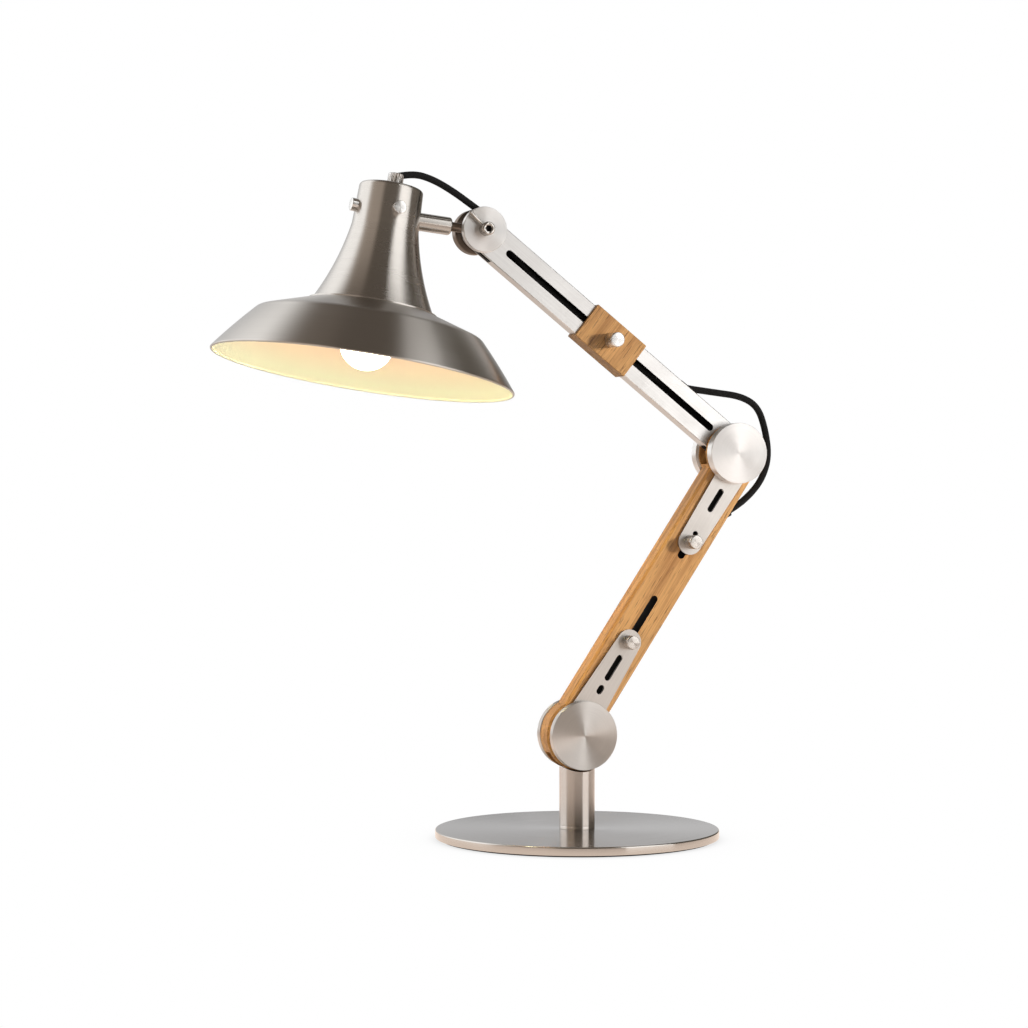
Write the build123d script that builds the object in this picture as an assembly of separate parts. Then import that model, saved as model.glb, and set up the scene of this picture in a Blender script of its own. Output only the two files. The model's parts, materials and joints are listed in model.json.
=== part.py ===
from build123d import *
import math
import os

# Adjustable desk lamp: round foot, oak lower arm, slotted steel upper arm, spun steel shade.
# Millimetres, origin under the middle of the foot, +Z up, head towards -X, front towards -Y.

# Clearances
running_fit = 0.05
seat_fit = 0.05
face_gap = 0.1
knob_gap = 0.2
sweep_gap = 1.0
sleeve_gap = 0.3

# Foot and post
foot_radius = 120.0
foot_thickness = 7.0
foot_edge_round = 1.2
foot_edge_chamfer = 0.6
pad_thickness = 1.5
pad_inset = 4.0
foot_bolt_radius = 4.0
foot_bolt_head_radius = 8.0
foot_bolt_head_height = 4.0
foot_bolt_recess_spare = 0.6
foot_bolt_grip = 14.0
post_radius = 15.0
post_wall = 2.0
foot_ring_height = 3.0
plug_depth = 16.0
saddle_gap = 0.8
gland_hole_height_share = 0.5
mains_gland_radius = 4.2
mains_gland_flange_radius = 6.2
mains_gland_flange = 2.2
mains_gland_bore = 3.0

# Shoulder joint
shoulder_height = 88.0
tongue_thickness = 11.0
tongue_radius = 11.0
pivot_bolt_radius = 4.0
shoulder_disc_radius = 29.0
shoulder_disc_thickness = 7.0
shoulder_bolt_grip = 5.0
shoulder_washer_radius = 10.5
washer_thickness = 0.5
washer_bore_spare = 0.2
disc_chamfer = 0.5

# Oak lower arm
oak_tilt = 33.55
oak_span = 275.7
oak_radius = 19.0
oak_shoulder_radius = 30.0
oak_elbow_radius = 25.0
oak_thickness = 20.0
oak_chamfer = 2.0
pivot_offset = 7.4
shoulder_forward = 35.0
shoulder_back = 35.0
sweep_margin = 3.0
sweep_reach = 80.0
oak_slot_width = 6.3
oak_slot_low_near = 30.0
oak_slot_low_far = 134.5
oak_slot_high_near = 29.7
oak_slot_high_far = 102.7

# Bracket plates on the oak
bracket_thickness = 2.5
shoulder_bracket_round = 27.0
shoulder_bracket_root = 15.5
shoulder_bracket_tip = 10.8
shoulder_knob_reach = 88.2
shoulder_slots = [(36.5, 45.0), (50.0, 75.0)]
bracket_slot_width = 5.2
elbow_bracket_round = 24.5
elbow_bracket_root = 13.3
elbow_bracket_tip = 10.9
elbow_knob_reach = 86.1
elbow_slots = [(32.2, 55.2)]
elbow_hole_reach = 77.7
elbow_hole_radius = 2.4

# Thumb knobs and their nuts
arm_knob_radius = 5.9
shoulder_knob_length = 10.0
elbow_knob_length = 14.0
knob_chamfer = 0.7
stud_radius = 2.5
cap_nut_radius = 5.2
cap_nut_height = 6.5
cap_nut_dome = 2.2
stud_grip = 4.5
dome_share = 0.9

# Elbow joint
elbow_disc_radius = 26.0
elbow_disc_thickness = 9.5
elbow_bolt_grip = 7.0
elbow_washer_radius = 10.0
elbow_bush_radius = 9.5
elbow_lower = 30.0
elbow_raise = 60.0

# Slotted upper arm
upper_slope = 38.27
upper_span = 292.4
elbow_drop = 4.8
tube_radius = 15.0
tube_thickness = 13.0
tube_wall = 1.8
tube_edge_chamfer = 0.5
head_mouth = 22.5
elbow_mouth = 24.0
tube_slot_width = 6.2
tube_slot_near = 27.5
tube_slot_end = 27.1
exit_reach = 65.4
exit_length = 20.0
exit_side = 1.2
exit_width = 7.4
grommet_flange = 1.0
grommet_thickness = 1.2
grommet_wall = 0.6

# Oak clamp block
block_reach_share = 0.4959
block_length = 55.8
block_half_width = 16.8
block_proud = 3.0
block_chamfer = 0.5
block_knob_radius = 6.15
block_knob_length = 16.0
block_stud_radius = 2.0
block_stud_spare = 0.3
nut_length = 12.0
nut_width = 10.0
nut_thickness = 2.2
nut_gap = 0.2
nut_neck_gap = 0.3

# Head joint
head_disc_radius = 19.0
head_boss_radius = 13.0
head_boss_height = 2.0
head_disc_front = 6.5
head_disc_rear = 9.0
clamp_stud_radius = 3.0
clamp_grip = 7.0
clamp_head_radius = 5.6
clamp_head_height = 9.0
clamp_socket_radius = 2.9
clamp_socket_depth = 4.0
clamp_bar_radius = 1.5
clamp_bar_length = 20.5
clamp_bar_tail = 4.6
clamp_bar_height_share = 0.36
clamp_bar_angle = 137.0
hub_radius = 8.0
hub_gap = 0.3
hub_rod_radius = 4.0
hub_rod_grip = 14.0

# Stem, shade and fittings
stem_tilt = 6.4
shade_turn = -2.1
shade_lean = 3.4
shade_reach = 81.15
stem_below_top = 25.35
stem_near = 26.0
stem_radius = 7.5
stem_round = 2.0
stem_spigot_radius = 4.0
stem_spigot_spare = 1.5
stem_nut_radius = 7.5
stem_nut_height = 5.0
shade_wall = 1.0
rim_radius = 125.6
rim_bead_radius = 1.1
skirt_bulge_radius = 110.5
skirt_bulge_share = 0.548
skirt_top_radius = 95.9
skirt_top_below_seat = 17.3
corner_mid_radius = 93.8
corner_below_seat = 15.3
roof_radius = 91.2
roof_below_seat = 14.0
roof_top_radius = 53.4
roof_top_below_seat = 1.1
seat_height = 54.0
seat_inner_radius = 44.0
neck_foot_radius = 50.5
neck_mid_radius = 35.9
neck_mid_share = 0.5126
neck_bend_radius = 27.9
neck_bend_below_top = 34.5
neck_top_radius = 26.6
neck_top_height = 155.8
neck_top_round = 3.0
neck_screw_below_top = 21.2
neck_screw_angles = [-88.0, 92.0, 182.0]
neck_screw_head_radius = 5.4
neck_screw_proud = 4.5
neck_screw_chamfer = 0.4
neck_screw_radius = 2.0
gland_offset = 2.2
gland_radius = 6.6
gland_height = 11.4
gland_chamfer = 0.6
gland_exit_drop = 2.2
gland_exit_rise = 23.0
gland_spigot_radius = 5.0
gland_spigot_length = 7.0
gland_nut_radius = 8.0
gland_nut_height = 2.5

# Lamp holder and bulb
carrier_below_top = 14.0
carrier_radius = 24.4
carrier_thickness = 2.0
carrier_bore = 10.5
carrier_tab_width = 9.0
carrier_tab_length = 13.0
holder_boss_radius = 10.4
holder_collar_radius = 15.0
holder_collar_length = 23.0
holder_radius = 19.5
holder_mouth_above_seat = 0.3
holder_bore_depth = 28.5
bulb_cap_radius = 13.0
bulb_cap_fit = 0.15
bulb_cap_proud = 1.5
bulb_radius = 22.5
bulb_low_height = 1.5
bulb_neck_radius = 12.4

# Flex
flex_radius = 2.9
flex_fit = 0.3
flex_side = 1.2
bush_radius = 4.4
bush_bore_spare = 0.25
bush_depth = 9.0
bush_proud = 1.5
bush_drop = 43.0
bush_run = 0.866
bush_turn = 0.5
flex_lead = 9.0
flex_sunk = 8.0
tail_sunk = 1.0
cord_share = 0.45
cord_gap = 0.15
gland_lead = 14.5
head_route = [(-41.9, 1.3, 42.2), (-24.4, 1.2, 33.2)]
head_arm_route = [(-18.0, 12.8), (0.5, 14.0), (19.5, 10.2), (39.5, 3.2), (57.0, 0.0)]
tube_route_start = 70.0
tube_share_route = [(0.3488, 0.0), (0.4651, 0.8), (0.5746, -0.4)]
tube_exit_route = [(-33.0, 1.0), (-9.5, 9.0)]
tube_route_end = (8.0, 19.6)
elbow_lead = (22.6, 28.44)
elbow_route = [(12.0, 0.6, 49.6), (27.5, 0.5, 40.6), (34.4, 0.4, 21.0), (37.5, 0.2, -1.0),
               (33.0, 0.1, -18.0), (23.5, 0.0, -32.0)]

# Derived positions
foot_top = pad_thickness + foot_thickness
post_base = foot_top + foot_ring_height
post_bore = post_radius - post_wall
plug_radius = post_bore - seat_fit
saddle_radius = oak_shoulder_radius + saddle_gap
post_top = shoulder_height - saddle_radius
oak_half = oak_thickness / 2
plate_face = oak_half + bracket_thickness
tongue_half = tongue_thickness / 2
shoulder_fork = tongue_half + face_gap + washer_thickness
tube_half = tube_thickness / 2
tube_inner = tube_half - tube_wall
elbow_fork = tube_half + face_gap + washer_thickness
bolt_bore = pivot_bolt_radius + running_fit
stud_bore = stud_radius + running_fit
block_reach = upper_span * block_reach_share
block_face = tube_half + block_proud
front_boss_face = tube_half + head_boss_height
front_disc_face = front_boss_face + head_disc_front
rear_disc_face = front_boss_face + head_disc_rear
clamp_bore = clamp_stud_radius + running_fit
neck_inner_top = neck_top_height - shade_wall
neck_bend_height = neck_top_height - neck_bend_below_top
neck_mid_height = seat_height + (neck_bend_height - seat_height) * neck_mid_share
neck_screw_height = neck_top_height - neck_screw_below_top
stem_level = neck_top_height - stem_below_top
carrier_height = neck_top_height - carrier_below_top
holder_collar_height = carrier_height - holder_collar_length
tail_low = carrier_height - tail_sunk
skirt_top_height = seat_height - skirt_top_below_seat
skirt_bulge_height = skirt_top_height * skirt_bulge_share
corner_mid_height = seat_height - corner_below_seat
roof_height = seat_height - roof_below_seat
roof_top_height = seat_height - roof_top_below_seat
holder_mouth_height = seat_height + holder_mouth_above_seat
holder_bore_top = holder_mouth_height + holder_bore_depth
bulb_cap_foot = holder_mouth_height - bulb_cap_proud
bulb_centre_height = bulb_low_height + bulb_radius


def turned(distance_x, distance_z, angle):
    bend = math.radians(angle)
    return (distance_x * math.cos(bend) + distance_z * math.sin(bend),
            distance_z * math.cos(bend) - distance_x * math.sin(bend))


shoulder_shift = turned(pivot_offset, 0, oak_tilt)
oak_x = -shoulder_shift[0]
oak_z = shoulder_height - shoulder_shift[1]
elbow_shift = turned(-pivot_offset, oak_span, oak_tilt)
elbow_x = oak_x + elbow_shift[0]
elbow_z = oak_z + elbow_shift[1]
head_shift = turned(upper_span, -elbow_drop, upper_slope)
head_x = elbow_x - head_shift[0]
head_z = elbow_z - head_shift[1]

oak_place = Location((oak_x, 0, oak_z), (0, oak_tilt, 0))
upper_place = Location((head_x, 0, head_z), (0, upper_slope, 0))
hinge_place = Location((head_x, 0, head_z), (0, stem_tilt, 0))
head_place = hinge_place * Location((0, 0, 0), (shade_turn, 0, 0))
shade_seat = head_place * Location((-shade_reach, 0, 0), (0, shade_lean, 0))
shade_place = shade_seat * Location((0, 0, -stem_level))

os.makedirs("parts", exist_ok=True)


def save(name, shape):
    export_step(shape, "parts/" + name + ".step")


def slab(outline, near, far):
    return extrude(Plane.XZ.offset(-far) * outline, far - near)


def pin(x, z, radius, near, far):
    return slab(Pos(x, z) * Circle(radius), near, far)


def barrel(radius, low, high):
    return Pos(0, 0, low) * Cylinder(radius, high - low, align=(Align.CENTER, Align.CENTER, Align.MIN))


def slot(near, far, width):
    return Pos(0, (near + far) / 2) * Rot(0, 0, 90) * SlotOverall(far - near, width)


def tapered(first, first_radius, second, second_radius):
    ends = Pos(*first) * Circle(first_radius) + Pos(*second) * Circle(second_radius)
    return make_hull(ends.edges())


def end_edges(shape, axis):
    groups = shape.edges().filter_by(GeomType.CIRCLE).group_by(axis)
    return groups


def heading(angle, reach):
    return (reach * math.cos(math.radians(angle)), reach * math.sin(math.radians(angle)))


def swept(start, stop, low_side, high_side):
    first = heading(start, sweep_reach)
    last = heading(stop, sweep_reach)
    cut = Polygon((0, 0), first, last, align=None)
    for angle in (start, stop):
        strip = Rectangle(sweep_reach, low_side + high_side)
        cut = cut + Rot(0, 0, angle) * Pos(sweep_reach / 2, (low_side - high_side) / 2) * strip
    return cut


def cord(name, points):
    radii = []
    for before, corner, after in zip(points, points[1:], points[2:]):
        first = Vector(corner) - Vector(before)
        second = Vector(after) - Vector(corner)
        half_turn = math.radians(first.get_angle(second)) / 2
        shorter = min(first.length, second.length)
        radii.append(cord_share * shorter / math.tan(half_turn))
    path = FilletPolyline(*points, radius=radii)
    shape = sweep(Plane(origin=path @ 0, z_dir=path % 0) * Circle(flex_radius), path=path)
    print(name, "radii", [round(r, 1) for r in radii], "volume ratio",
          round(shape.volume / (math.pi * flex_radius ** 2 * path.length), 4))
    return shape


# Foot and post
def base_pad():
    return barrel(foot_radius - pad_inset, 0, pad_thickness)


def base_plate():
    plate = barrel(foot_radius, pad_thickness, foot_top)
    rims = end_edges(plate, Axis.Z)
    plate = fillet(rims[-1], foot_edge_round)
    plate = chamfer(end_edges(plate, Axis.Z)[0], foot_edge_chamfer)
    plate -= barrel(foot_bolt_radius + seat_fit, 0, foot_top)
    recess = foot_bolt_head_height + foot_bolt_recess_spare
    return plate - barrel(foot_bolt_head_radius + seat_fit, 0, pad_thickness + recess)


def base_bolt():
    seat = pad_thickness + foot_bolt_head_height + foot_bolt_recess_spare
    head = barrel(foot_bolt_head_radius, seat - foot_bolt_head_height, seat)
    return head + barrel(foot_bolt_radius, seat, foot_top + foot_bolt_grip)


def post_foot():
    body = barrel(post_radius, foot_top, post_base) + barrel(plug_radius, post_base, post_base + plug_depth)
    return body - barrel(foot_bolt_radius + seat_fit, 0, post_base + plug_depth)


def gland_level():
    return post_base + (post_top - post_base) * gland_hole_height_share


def saddle():
    return pin(0, shoulder_height, saddle_radius, -post_radius, post_radius)


def post_tube():
    tube = barrel(post_radius, post_base, shoulder_height) - barrel(post_bore, post_base, shoulder_height)
    tube -= saddle()
    return tube - pin(0, gland_level(), mains_gland_radius + seat_fit, 0, post_radius)


def mains_gland():
    outside = post_radius + mains_gland_flange
    level = gland_level()
    sleeve = pin(0, level, mains_gland_radius, 0, post_radius) - barrel(post_bore, 0, shoulder_height)
    flange = pin(0, level, mains_gland_flange_radius, 0, outside) - barrel(post_radius, 0, shoulder_height)
    return sleeve + flange - pin(0, level, mains_gland_bore, 0, outside)


def shoulder_tongue():
    foot = post_top - plug_depth
    plug = barrel(plug_radius, foot, shoulder_height) - saddle()
    blade = Pos(0, (foot + shoulder_height) / 2) * Rectangle(2 * tongue_radius, shoulder_height - foot)
    blade = blade + Pos(0, shoulder_height) * Circle(tongue_radius)
    shape = plug + slab(blade, -tongue_half, tongue_half)
    return shape - pin(0, shoulder_height, bolt_bore, -post_radius, post_radius)


# Oak lower arm and what is fixed on it
def oak_arm():
    outline = Pos(0, oak_span / 2) * Rot(0, 0, 90) * SlotOverall(oak_span + 2 * oak_radius, 2 * oak_radius)
    outline = outline + Pos(pivot_offset, 0) * Circle(oak_shoulder_radius)
    outline = outline + Pos(-pivot_offset, oak_span) * Circle(oak_elbow_radius)
    body = slab(outline, -oak_half, oak_half)
    faces = body.faces().sort_by(Axis.Y)
    body = chamfer(faces[0].edges() + faces[-1].edges(), oak_chamfer)
    body -= slab(slot(oak_slot_low_near, oak_slot_low_far, oak_slot_width), -oak_half, oak_half)
    body -= slab(slot(oak_span - oak_slot_high_far, oak_span - oak_slot_high_near, oak_slot_width),
                 -oak_half, oak_half)
    low_start = oak_tilt - shoulder_forward - sweep_margin - 90
    low_stop = oak_tilt + shoulder_back + sweep_margin - 90
    side = tongue_radius + sweep_gap
    low_cut = Circle(side) + swept(low_start, low_stop, side, side)
    body -= slab(Pos(pivot_offset, 0) * low_cut, -shoulder_fork, shoulder_fork)
    rest = 180 - upper_slope + oak_tilt
    low_side = tube_radius - elbow_drop + sweep_gap
    high_side = tube_radius + elbow_drop + sweep_gap
    high_start = rest - elbow_raise - sweep_margin
    high_stop = rest + elbow_lower + sweep_margin
    high_cut = Circle(high_side) + swept(high_start, high_stop, low_side, high_side)
    body -= slab(Pos(-pivot_offset, oak_span) * high_cut, -elbow_fork, elbow_fork)
    body -= pin(pivot_offset, 0, pivot_bolt_radius + seat_fit, -oak_half, oak_half)
    body -= pin(-pivot_offset, oak_span, pivot_bolt_radius + seat_fit, -oak_half, oak_half)
    return body - bush_barrel(bush_radius + seat_fit, -bush_depth, oak_radius)


def bush_plane():
    return Plane(origin=(oak_radius, 0, oak_span - bush_drop), z_dir=(bush_turn, 0, bush_run))


def bush_barrel(radius, low, high):
    return bush_plane() * barrel(radius, low, high)


def arm_bush():
    sleeve = bush_barrel(bush_radius, -bush_depth, bush_proud)
    return sleeve - bush_barrel(flex_radius + bush_bore_spare, -bush_depth, bush_proud)


def shoulder_bracket(near, far):
    outline = tapered((0, 0), shoulder_bracket_root, (0, shoulder_knob_reach), shoulder_bracket_tip)
    outline = outline + Pos(pivot_offset, 0) * Circle(shoulder_bracket_round)
    for low, high in shoulder_slots:
        outline = outline - slot(low, high, bracket_slot_width)
    outline = outline - Pos(pivot_offset, 0) * Circle(pivot_bolt_radius + seat_fit)
    return slab(outline - Pos(0, shoulder_knob_reach) * Circle(stud_bore), near, far)


def elbow_bracket(near, far):
    knob = oak_span - elbow_knob_reach
    outline = tapered((0, oak_span), elbow_bracket_root, (0, knob), elbow_bracket_tip)
    outline = outline + Pos(-pivot_offset, oak_span) * Circle(elbow_bracket_round)
    for low, high in elbow_slots:
        outline = outline - slot(oak_span - high, oak_span - low, bracket_slot_width)
    outline = outline - Pos(0, oak_span - elbow_hole_reach) * Circle(elbow_hole_radius)
    outline = outline - Pos(-pivot_offset, oak_span) * Circle(pivot_bolt_radius + seat_fit)
    return slab(outline - Pos(0, knob) * Circle(stud_bore), near, far)


def joint_disc(x, z, radius, thickness, grip, side):
    disc = pin(x, z, radius, 0, thickness)
    rims = end_edges(disc, Axis.Y)
    disc = chamfer(rims[-1], disc_chamfer)
    disc = disc - pin(x, z, pivot_bolt_radius + seat_fit, 0, grip)
    disc = Pos(0, plate_face, 0) * disc
    if side < 0:
        disc = mirror(disc, Plane.XZ)
    return disc


def washer_pair(x, z, outer, near):
    ring = Pos(x, z) * (Circle(outer) - Circle(pivot_bolt_radius + washer_bore_spare))
    front = slab(ring, -near - washer_thickness, -near)
    rear = slab(ring, near, near + washer_thickness)
    return Compound(children=[front, rear])


def thumb_knob(x, z, radius, length, face, shaft_radius, shaft_end):
    head = pin(x, z, radius, -face - knob_gap - length, -face - knob_gap)
    rims = end_edges(head, Axis.Y)
    head = chamfer(rims[0] + rims[-1], knob_chamfer)
    return head + pin(x, z, shaft_radius, -face - knob_gap, shaft_end)


def cap_nut(z):
    top = plate_face + cap_nut_height
    body = slab(Pos(0, z) * RegularPolygon(cap_nut_radius, 6), plate_face, top - cap_nut_dome)
    dome = pin(0, z, cap_nut_radius * math.cos(math.radians(30)), top - cap_nut_dome, top)
    dome = fillet(end_edges(dome, Axis.Y)[-1], cap_nut_dome * dome_share)
    return body + dome - pin(0, z, stud_bore, plate_face, plate_face + stud_grip + running_fit)


def clamp_cap_nuts():
    return Compound(children=[cap_nut(shoulder_knob_reach), cap_nut(oak_span - elbow_knob_reach)])


# Upper arm
def upper_arm_tube():
    outline = Pos(upper_span / 2, 0) * SlotOverall(upper_span + 2 * tube_radius, 2 * tube_radius)
    body = slab(outline, -tube_half, tube_half)
    faces = body.faces().sort_by(Axis.Y)
    body = chamfer(faces[0].edges() + faces[-1].edges(), tube_edge_chamfer)
    inside = Rectangle(upper_span + 2 * tube_radius, 2 * (tube_radius - tube_wall))
    body -= slab(Pos(upper_span / 2, 0) * inside, -tube_inner, tube_inner)
    near_mouth = Rectangle(head_mouth + tube_radius, 2 * tube_radius)
    far_mouth = Rectangle(elbow_mouth + tube_radius, 2 * tube_radius)
    body -= slab(Pos((head_mouth - tube_radius) / 2, 0) * near_mouth, -tube_inner, tube_inner)
    body -= slab(Pos(upper_span - (elbow_mouth - tube_radius) / 2, 0) * far_mouth, -tube_inner, tube_inner)
    slot_far = upper_span - tube_slot_end
    long_slot = SlotOverall(slot_far - tube_slot_near, tube_slot_width)
    body -= slab(Pos((tube_slot_near + slot_far) / 2, 0) * long_slot, -tube_half, -tube_inner)
    body -= pin(0, 0, clamp_bore, -tube_half, tube_half)
    body -= pin(upper_span, -elbow_drop, bolt_bore, -tube_half, tube_half)
    return body - exit_column(exit_length, exit_width, 0, tube_radius)


def exit_column(length, width, low, high):
    outline = Pos(upper_span - exit_reach, exit_side) * SlotOverall(length, width)
    return extrude(Plane.XY.offset(low) * outline, high - low)


def tube_grommet():
    low = tube_radius - tube_wall
    body = exit_column(exit_length - 2 * seat_fit, exit_width - 2 * seat_fit, low, tube_radius)
    body += exit_column(exit_length + 2 * grommet_flange, exit_width + 2 * grommet_flange, tube_radius,
                        tube_radius + grommet_thickness)
    return body - exit_column(exit_length - 2 * grommet_wall, exit_width - 2 * grommet_wall, low,
                              tube_radius + grommet_thickness)


def elbow_bush():
    ring = Pos(upper_span, -elbow_drop) * (Circle(elbow_bush_radius) - Circle(bolt_bore))
    return slab(ring, -tube_inner, tube_inner)


def head_disc(thickness, side, through):
    boss = pin(0, 0, head_boss_radius, tube_half, front_boss_face)
    rim = pin(0, 0, head_disc_radius, front_boss_face, front_boss_face + thickness)
    rims = end_edges(rim, Axis.Y)
    rim = chamfer(rims[0] + rims[-1], disc_chamfer)
    disc = boss + rim - pin(0, 0, clamp_bore, tube_half, tube_half + through)
    if side < 0:
        disc = mirror(disc, Plane.XZ)
    return disc


# Oak clamp block
def oak_block():
    body = Pos(block_reach, 0, 0) * Box(block_length, 2 * block_face, 2 * block_half_width)
    body = chamfer(body.edges(), block_chamfer)
    window = Pos(block_reach, 0, 0) * Box(block_length, tube_thickness + 2 * sleeve_gap,
                                          2 * (tube_radius + sleeve_gap))
    body -= window
    return body - pin(block_reach, 0, block_stud_radius + block_stud_spare, -block_face, 0)


def clamp_nut():
    plate = slab(Pos(block_reach, 0) * Rectangle(nut_length, nut_width),
                 -tube_inner + nut_gap, -tube_inner + nut_gap + nut_thickness)
    neck_radius = tube_slot_width / 2 - nut_neck_gap
    neck = pin(block_reach, 0, neck_radius, -tube_half - sleeve_gap, -tube_inner + nut_gap)
    bore = pin(block_reach, 0, block_stud_radius + running_fit, -block_face, tube_half)
    return plate + neck - bore


# Head joint
def tilt_clamp_screw():
    face = front_disc_face + knob_gap
    tip = front_boss_face + clamp_grip
    head = pin(0, 0, clamp_head_radius, -face - clamp_head_height, -face)
    head = chamfer(end_edges(head, Axis.Y)[0], knob_chamfer)
    head -= slab(RegularPolygon(clamp_socket_radius, 6), -face - clamp_head_height,
                 -face - clamp_head_height + clamp_socket_depth)
    return head + pin(0, 0, clamp_stud_radius, -face, tip) - clamp_bar_bore()


def clamp_bar_place():
    level = -front_disc_face - knob_gap - clamp_head_height * clamp_bar_height_share
    return Location((0, level, 0), (0, 90 - clamp_bar_angle, 0))


def clamp_bar_bore():
    return clamp_bar_place() * barrel(clamp_bar_radius + seat_fit, -clamp_head_radius, clamp_head_radius)


def tilt_clamp_bar():
    bar = barrel(clamp_bar_radius, -clamp_bar_tail, clamp_bar_length)
    bar = fillet(end_edges(bar, Axis.Z)[-1], clamp_bar_radius * dome_share)
    return clamp_bar_place() * bar


def hinge_hub():
    hub = pin(0, 0, hub_radius, -tube_inner + hub_gap, tube_inner - hub_gap)
    rod = Rot(0, -90, 0) * barrel(hub_rod_radius, 0, stem_near + hub_rod_grip)
    return hub + rod - pin(0, 0, clamp_bore, -tube_half, tube_half)


# Shade: x, y and z from the middle of its rim, z along its own axis
def revolved(outline):
    return revolve(Plane.XZ * outline, Axis.Z)


def neck_outer():
    foot = (neck_foot_radius, seat_height)
    bend = (neck_bend_radius, neck_bend_height)
    line = ThreePointArc(foot, (neck_mid_radius, neck_mid_height), bend)
    line += Line(bend, (neck_top_radius, neck_top_height - neck_top_round))
    line += RadiusArc((neck_top_radius, neck_top_height - neck_top_round),
                      (neck_top_radius - neck_top_round, neck_top_height), -neck_top_round)
    line += Line((neck_top_radius - neck_top_round, neck_top_height), (0, neck_top_height))
    line += Line((0, neck_top_height), (0, seat_height))
    line += Line((0, seat_height), foot)
    return revolved(make_face(line))


def neck_inner():
    foot = (neck_foot_radius - shade_wall, seat_height)
    bend = (neck_bend_radius - shade_wall, neck_bend_height)
    top = (neck_top_radius - shade_wall, neck_inner_top)
    line = ThreePointArc(foot, (neck_mid_radius - shade_wall, neck_mid_height), bend)
    line += Line(bend, top)
    line += Line(top, (0, neck_inner_top))
    line += Line((0, neck_inner_top), (0, seat_height))
    line += Line((0, seat_height), foot)
    return revolved(make_face(line))


def at_wall(angle, height, shape):
    return Location((0, 0, height), (0, 0, angle)) * Rot(0, 90, 0) * shape


def on_stem(shape):
    return Location((0, 0, stem_level), (0, 90 - shade_lean, 0)) * shape


def screw_hole(angle):
    return at_wall(angle, neck_screw_height, barrel(neck_screw_radius + seat_fit, 0, neck_foot_radius))


def shade_neck():
    shell = neck_outer() - neck_inner()
    shell -= on_stem(barrel(stem_spigot_radius + seat_fit, 0, shade_reach))
    for angle in neck_screw_angles:
        shell -= screw_hole(angle)
    bore = barrel(gland_spigot_radius + seat_fit, seat_height, neck_top_height)
    return shell - Pos(gland_offset, 0, 0) * bore


def inset(before, point, after):
    run = after[0] - before[0]
    rise = after[1] - before[1]
    step = shade_wall / math.hypot(run, rise)
    return (point[0] - rise * step, point[1] + run * step)


def shade_dish():
    start = (rim_radius, 0)
    bulge = (skirt_bulge_radius, skirt_bulge_height)
    skirt = (skirt_top_radius, skirt_top_height)
    corner = (corner_mid_radius, corner_mid_height)
    roof = (roof_radius, roof_height)
    top = (roof_top_radius, roof_top_height)
    line = ThreePointArc(start, bulge, skirt)
    line += ThreePointArc(skirt, corner, roof)
    line += Line(roof, top)
    line += Line(top, (roof_top_radius, seat_height))
    line += Line((roof_top_radius, seat_height), (seat_inner_radius, seat_height))
    under = seat_height - shade_wall
    inner_top = (roof_top_radius - shade_wall, under)
    inner_edge = inset(roof, top, top)
    inner_roof = inset(roof, roof, top)
    inner_corner = inset(skirt, corner, roof)
    inner_skirt = inset(bulge, skirt, corner)
    inner_bulge = inset(start, bulge, skirt)
    inner_start = (rim_radius - shade_wall, 0)
    band = line + Line((seat_inner_radius, seat_height), (seat_inner_radius, under))
    band += Line((seat_inner_radius, under), inner_top)
    band += Line(inner_top, inner_edge)
    band += Line(inner_edge, inner_roof)
    band += ThreePointArc(inner_roof, inner_corner, inner_skirt)
    band += ThreePointArc(inner_skirt, inner_bulge, inner_start)
    band += Line(inner_start, start)
    bead = Pos(rim_radius - shade_wall / 2, 0) * Circle(rim_bead_radius)
    return revolved(make_face(band)) + revolved(bead)


def stem():
    body = on_stem(barrel(stem_radius, 0, shade_reach - stem_near))
    body = fillet(end_edges(body, Axis.X)[-1], stem_round)
    body -= neck_outer()
    body += on_stem(barrel(stem_spigot_radius, stem_spigot_end(), neck_foot_radius))
    bore = shade_reach - stem_near - hub_rod_grip - running_fit
    return body - on_stem(barrel(hub_rod_radius + running_fit, bore, shade_reach))


def stem_spigot_end():
    return neck_top_radius - shade_wall - stem_nut_height - stem_spigot_spare


def stem_nut():
    start = stem_spigot_end() + stem_spigot_spare
    body = on_stem(barrel(stem_nut_radius, start, neck_foot_radius)) & neck_inner()
    return body - on_stem(barrel(stem_spigot_radius + seat_fit, 0, neck_foot_radius))


def neck_screw(angle):
    head = barrel(neck_screw_head_radius, 0, neck_bend_radius + neck_screw_proud)
    head = chamfer(end_edges(head, Axis.Z)[-1], neck_screw_chamfer)
    head = at_wall(angle, neck_screw_height, head) - neck_outer()
    shaft = barrel(neck_screw_radius, carrier_radius - carrier_thickness, neck_bend_radius)
    return head + at_wall(angle, neck_screw_height, shaft)


def neck_screws():
    return Compound(children=[neck_screw(angle) for angle in neck_screw_angles])


def holder_bracket():
    plate = barrel(carrier_radius, carrier_height, carrier_height + carrier_thickness)
    tab_reach = carrier_radius - carrier_thickness / 2
    tab_middle = carrier_height + carrier_thickness - carrier_tab_length / 2
    leg = Pos(tab_reach, 0, tab_middle) * Box(carrier_thickness, carrier_tab_width, carrier_tab_length)
    for angle in neck_screw_angles:
        plate += Rot(0, 0, angle) * leg
        plate -= screw_hole(angle)
    return plate - barrel(carrier_bore, carrier_height, carrier_height + carrier_thickness)


def lamp_holder():
    body = barrel(holder_radius, holder_mouth_height, holder_collar_height)
    body += barrel(holder_collar_radius, holder_collar_height, carrier_height)
    body += barrel(holder_boss_radius, carrier_height, carrier_height + carrier_thickness)
    body -= barrel(bulb_cap_radius + bulb_cap_fit, holder_mouth_height, holder_bore_top)
    return body - Pos(gland_offset, 0, 0) * barrel(flex_radius + flex_fit, tail_low, neck_top_height)


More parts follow.
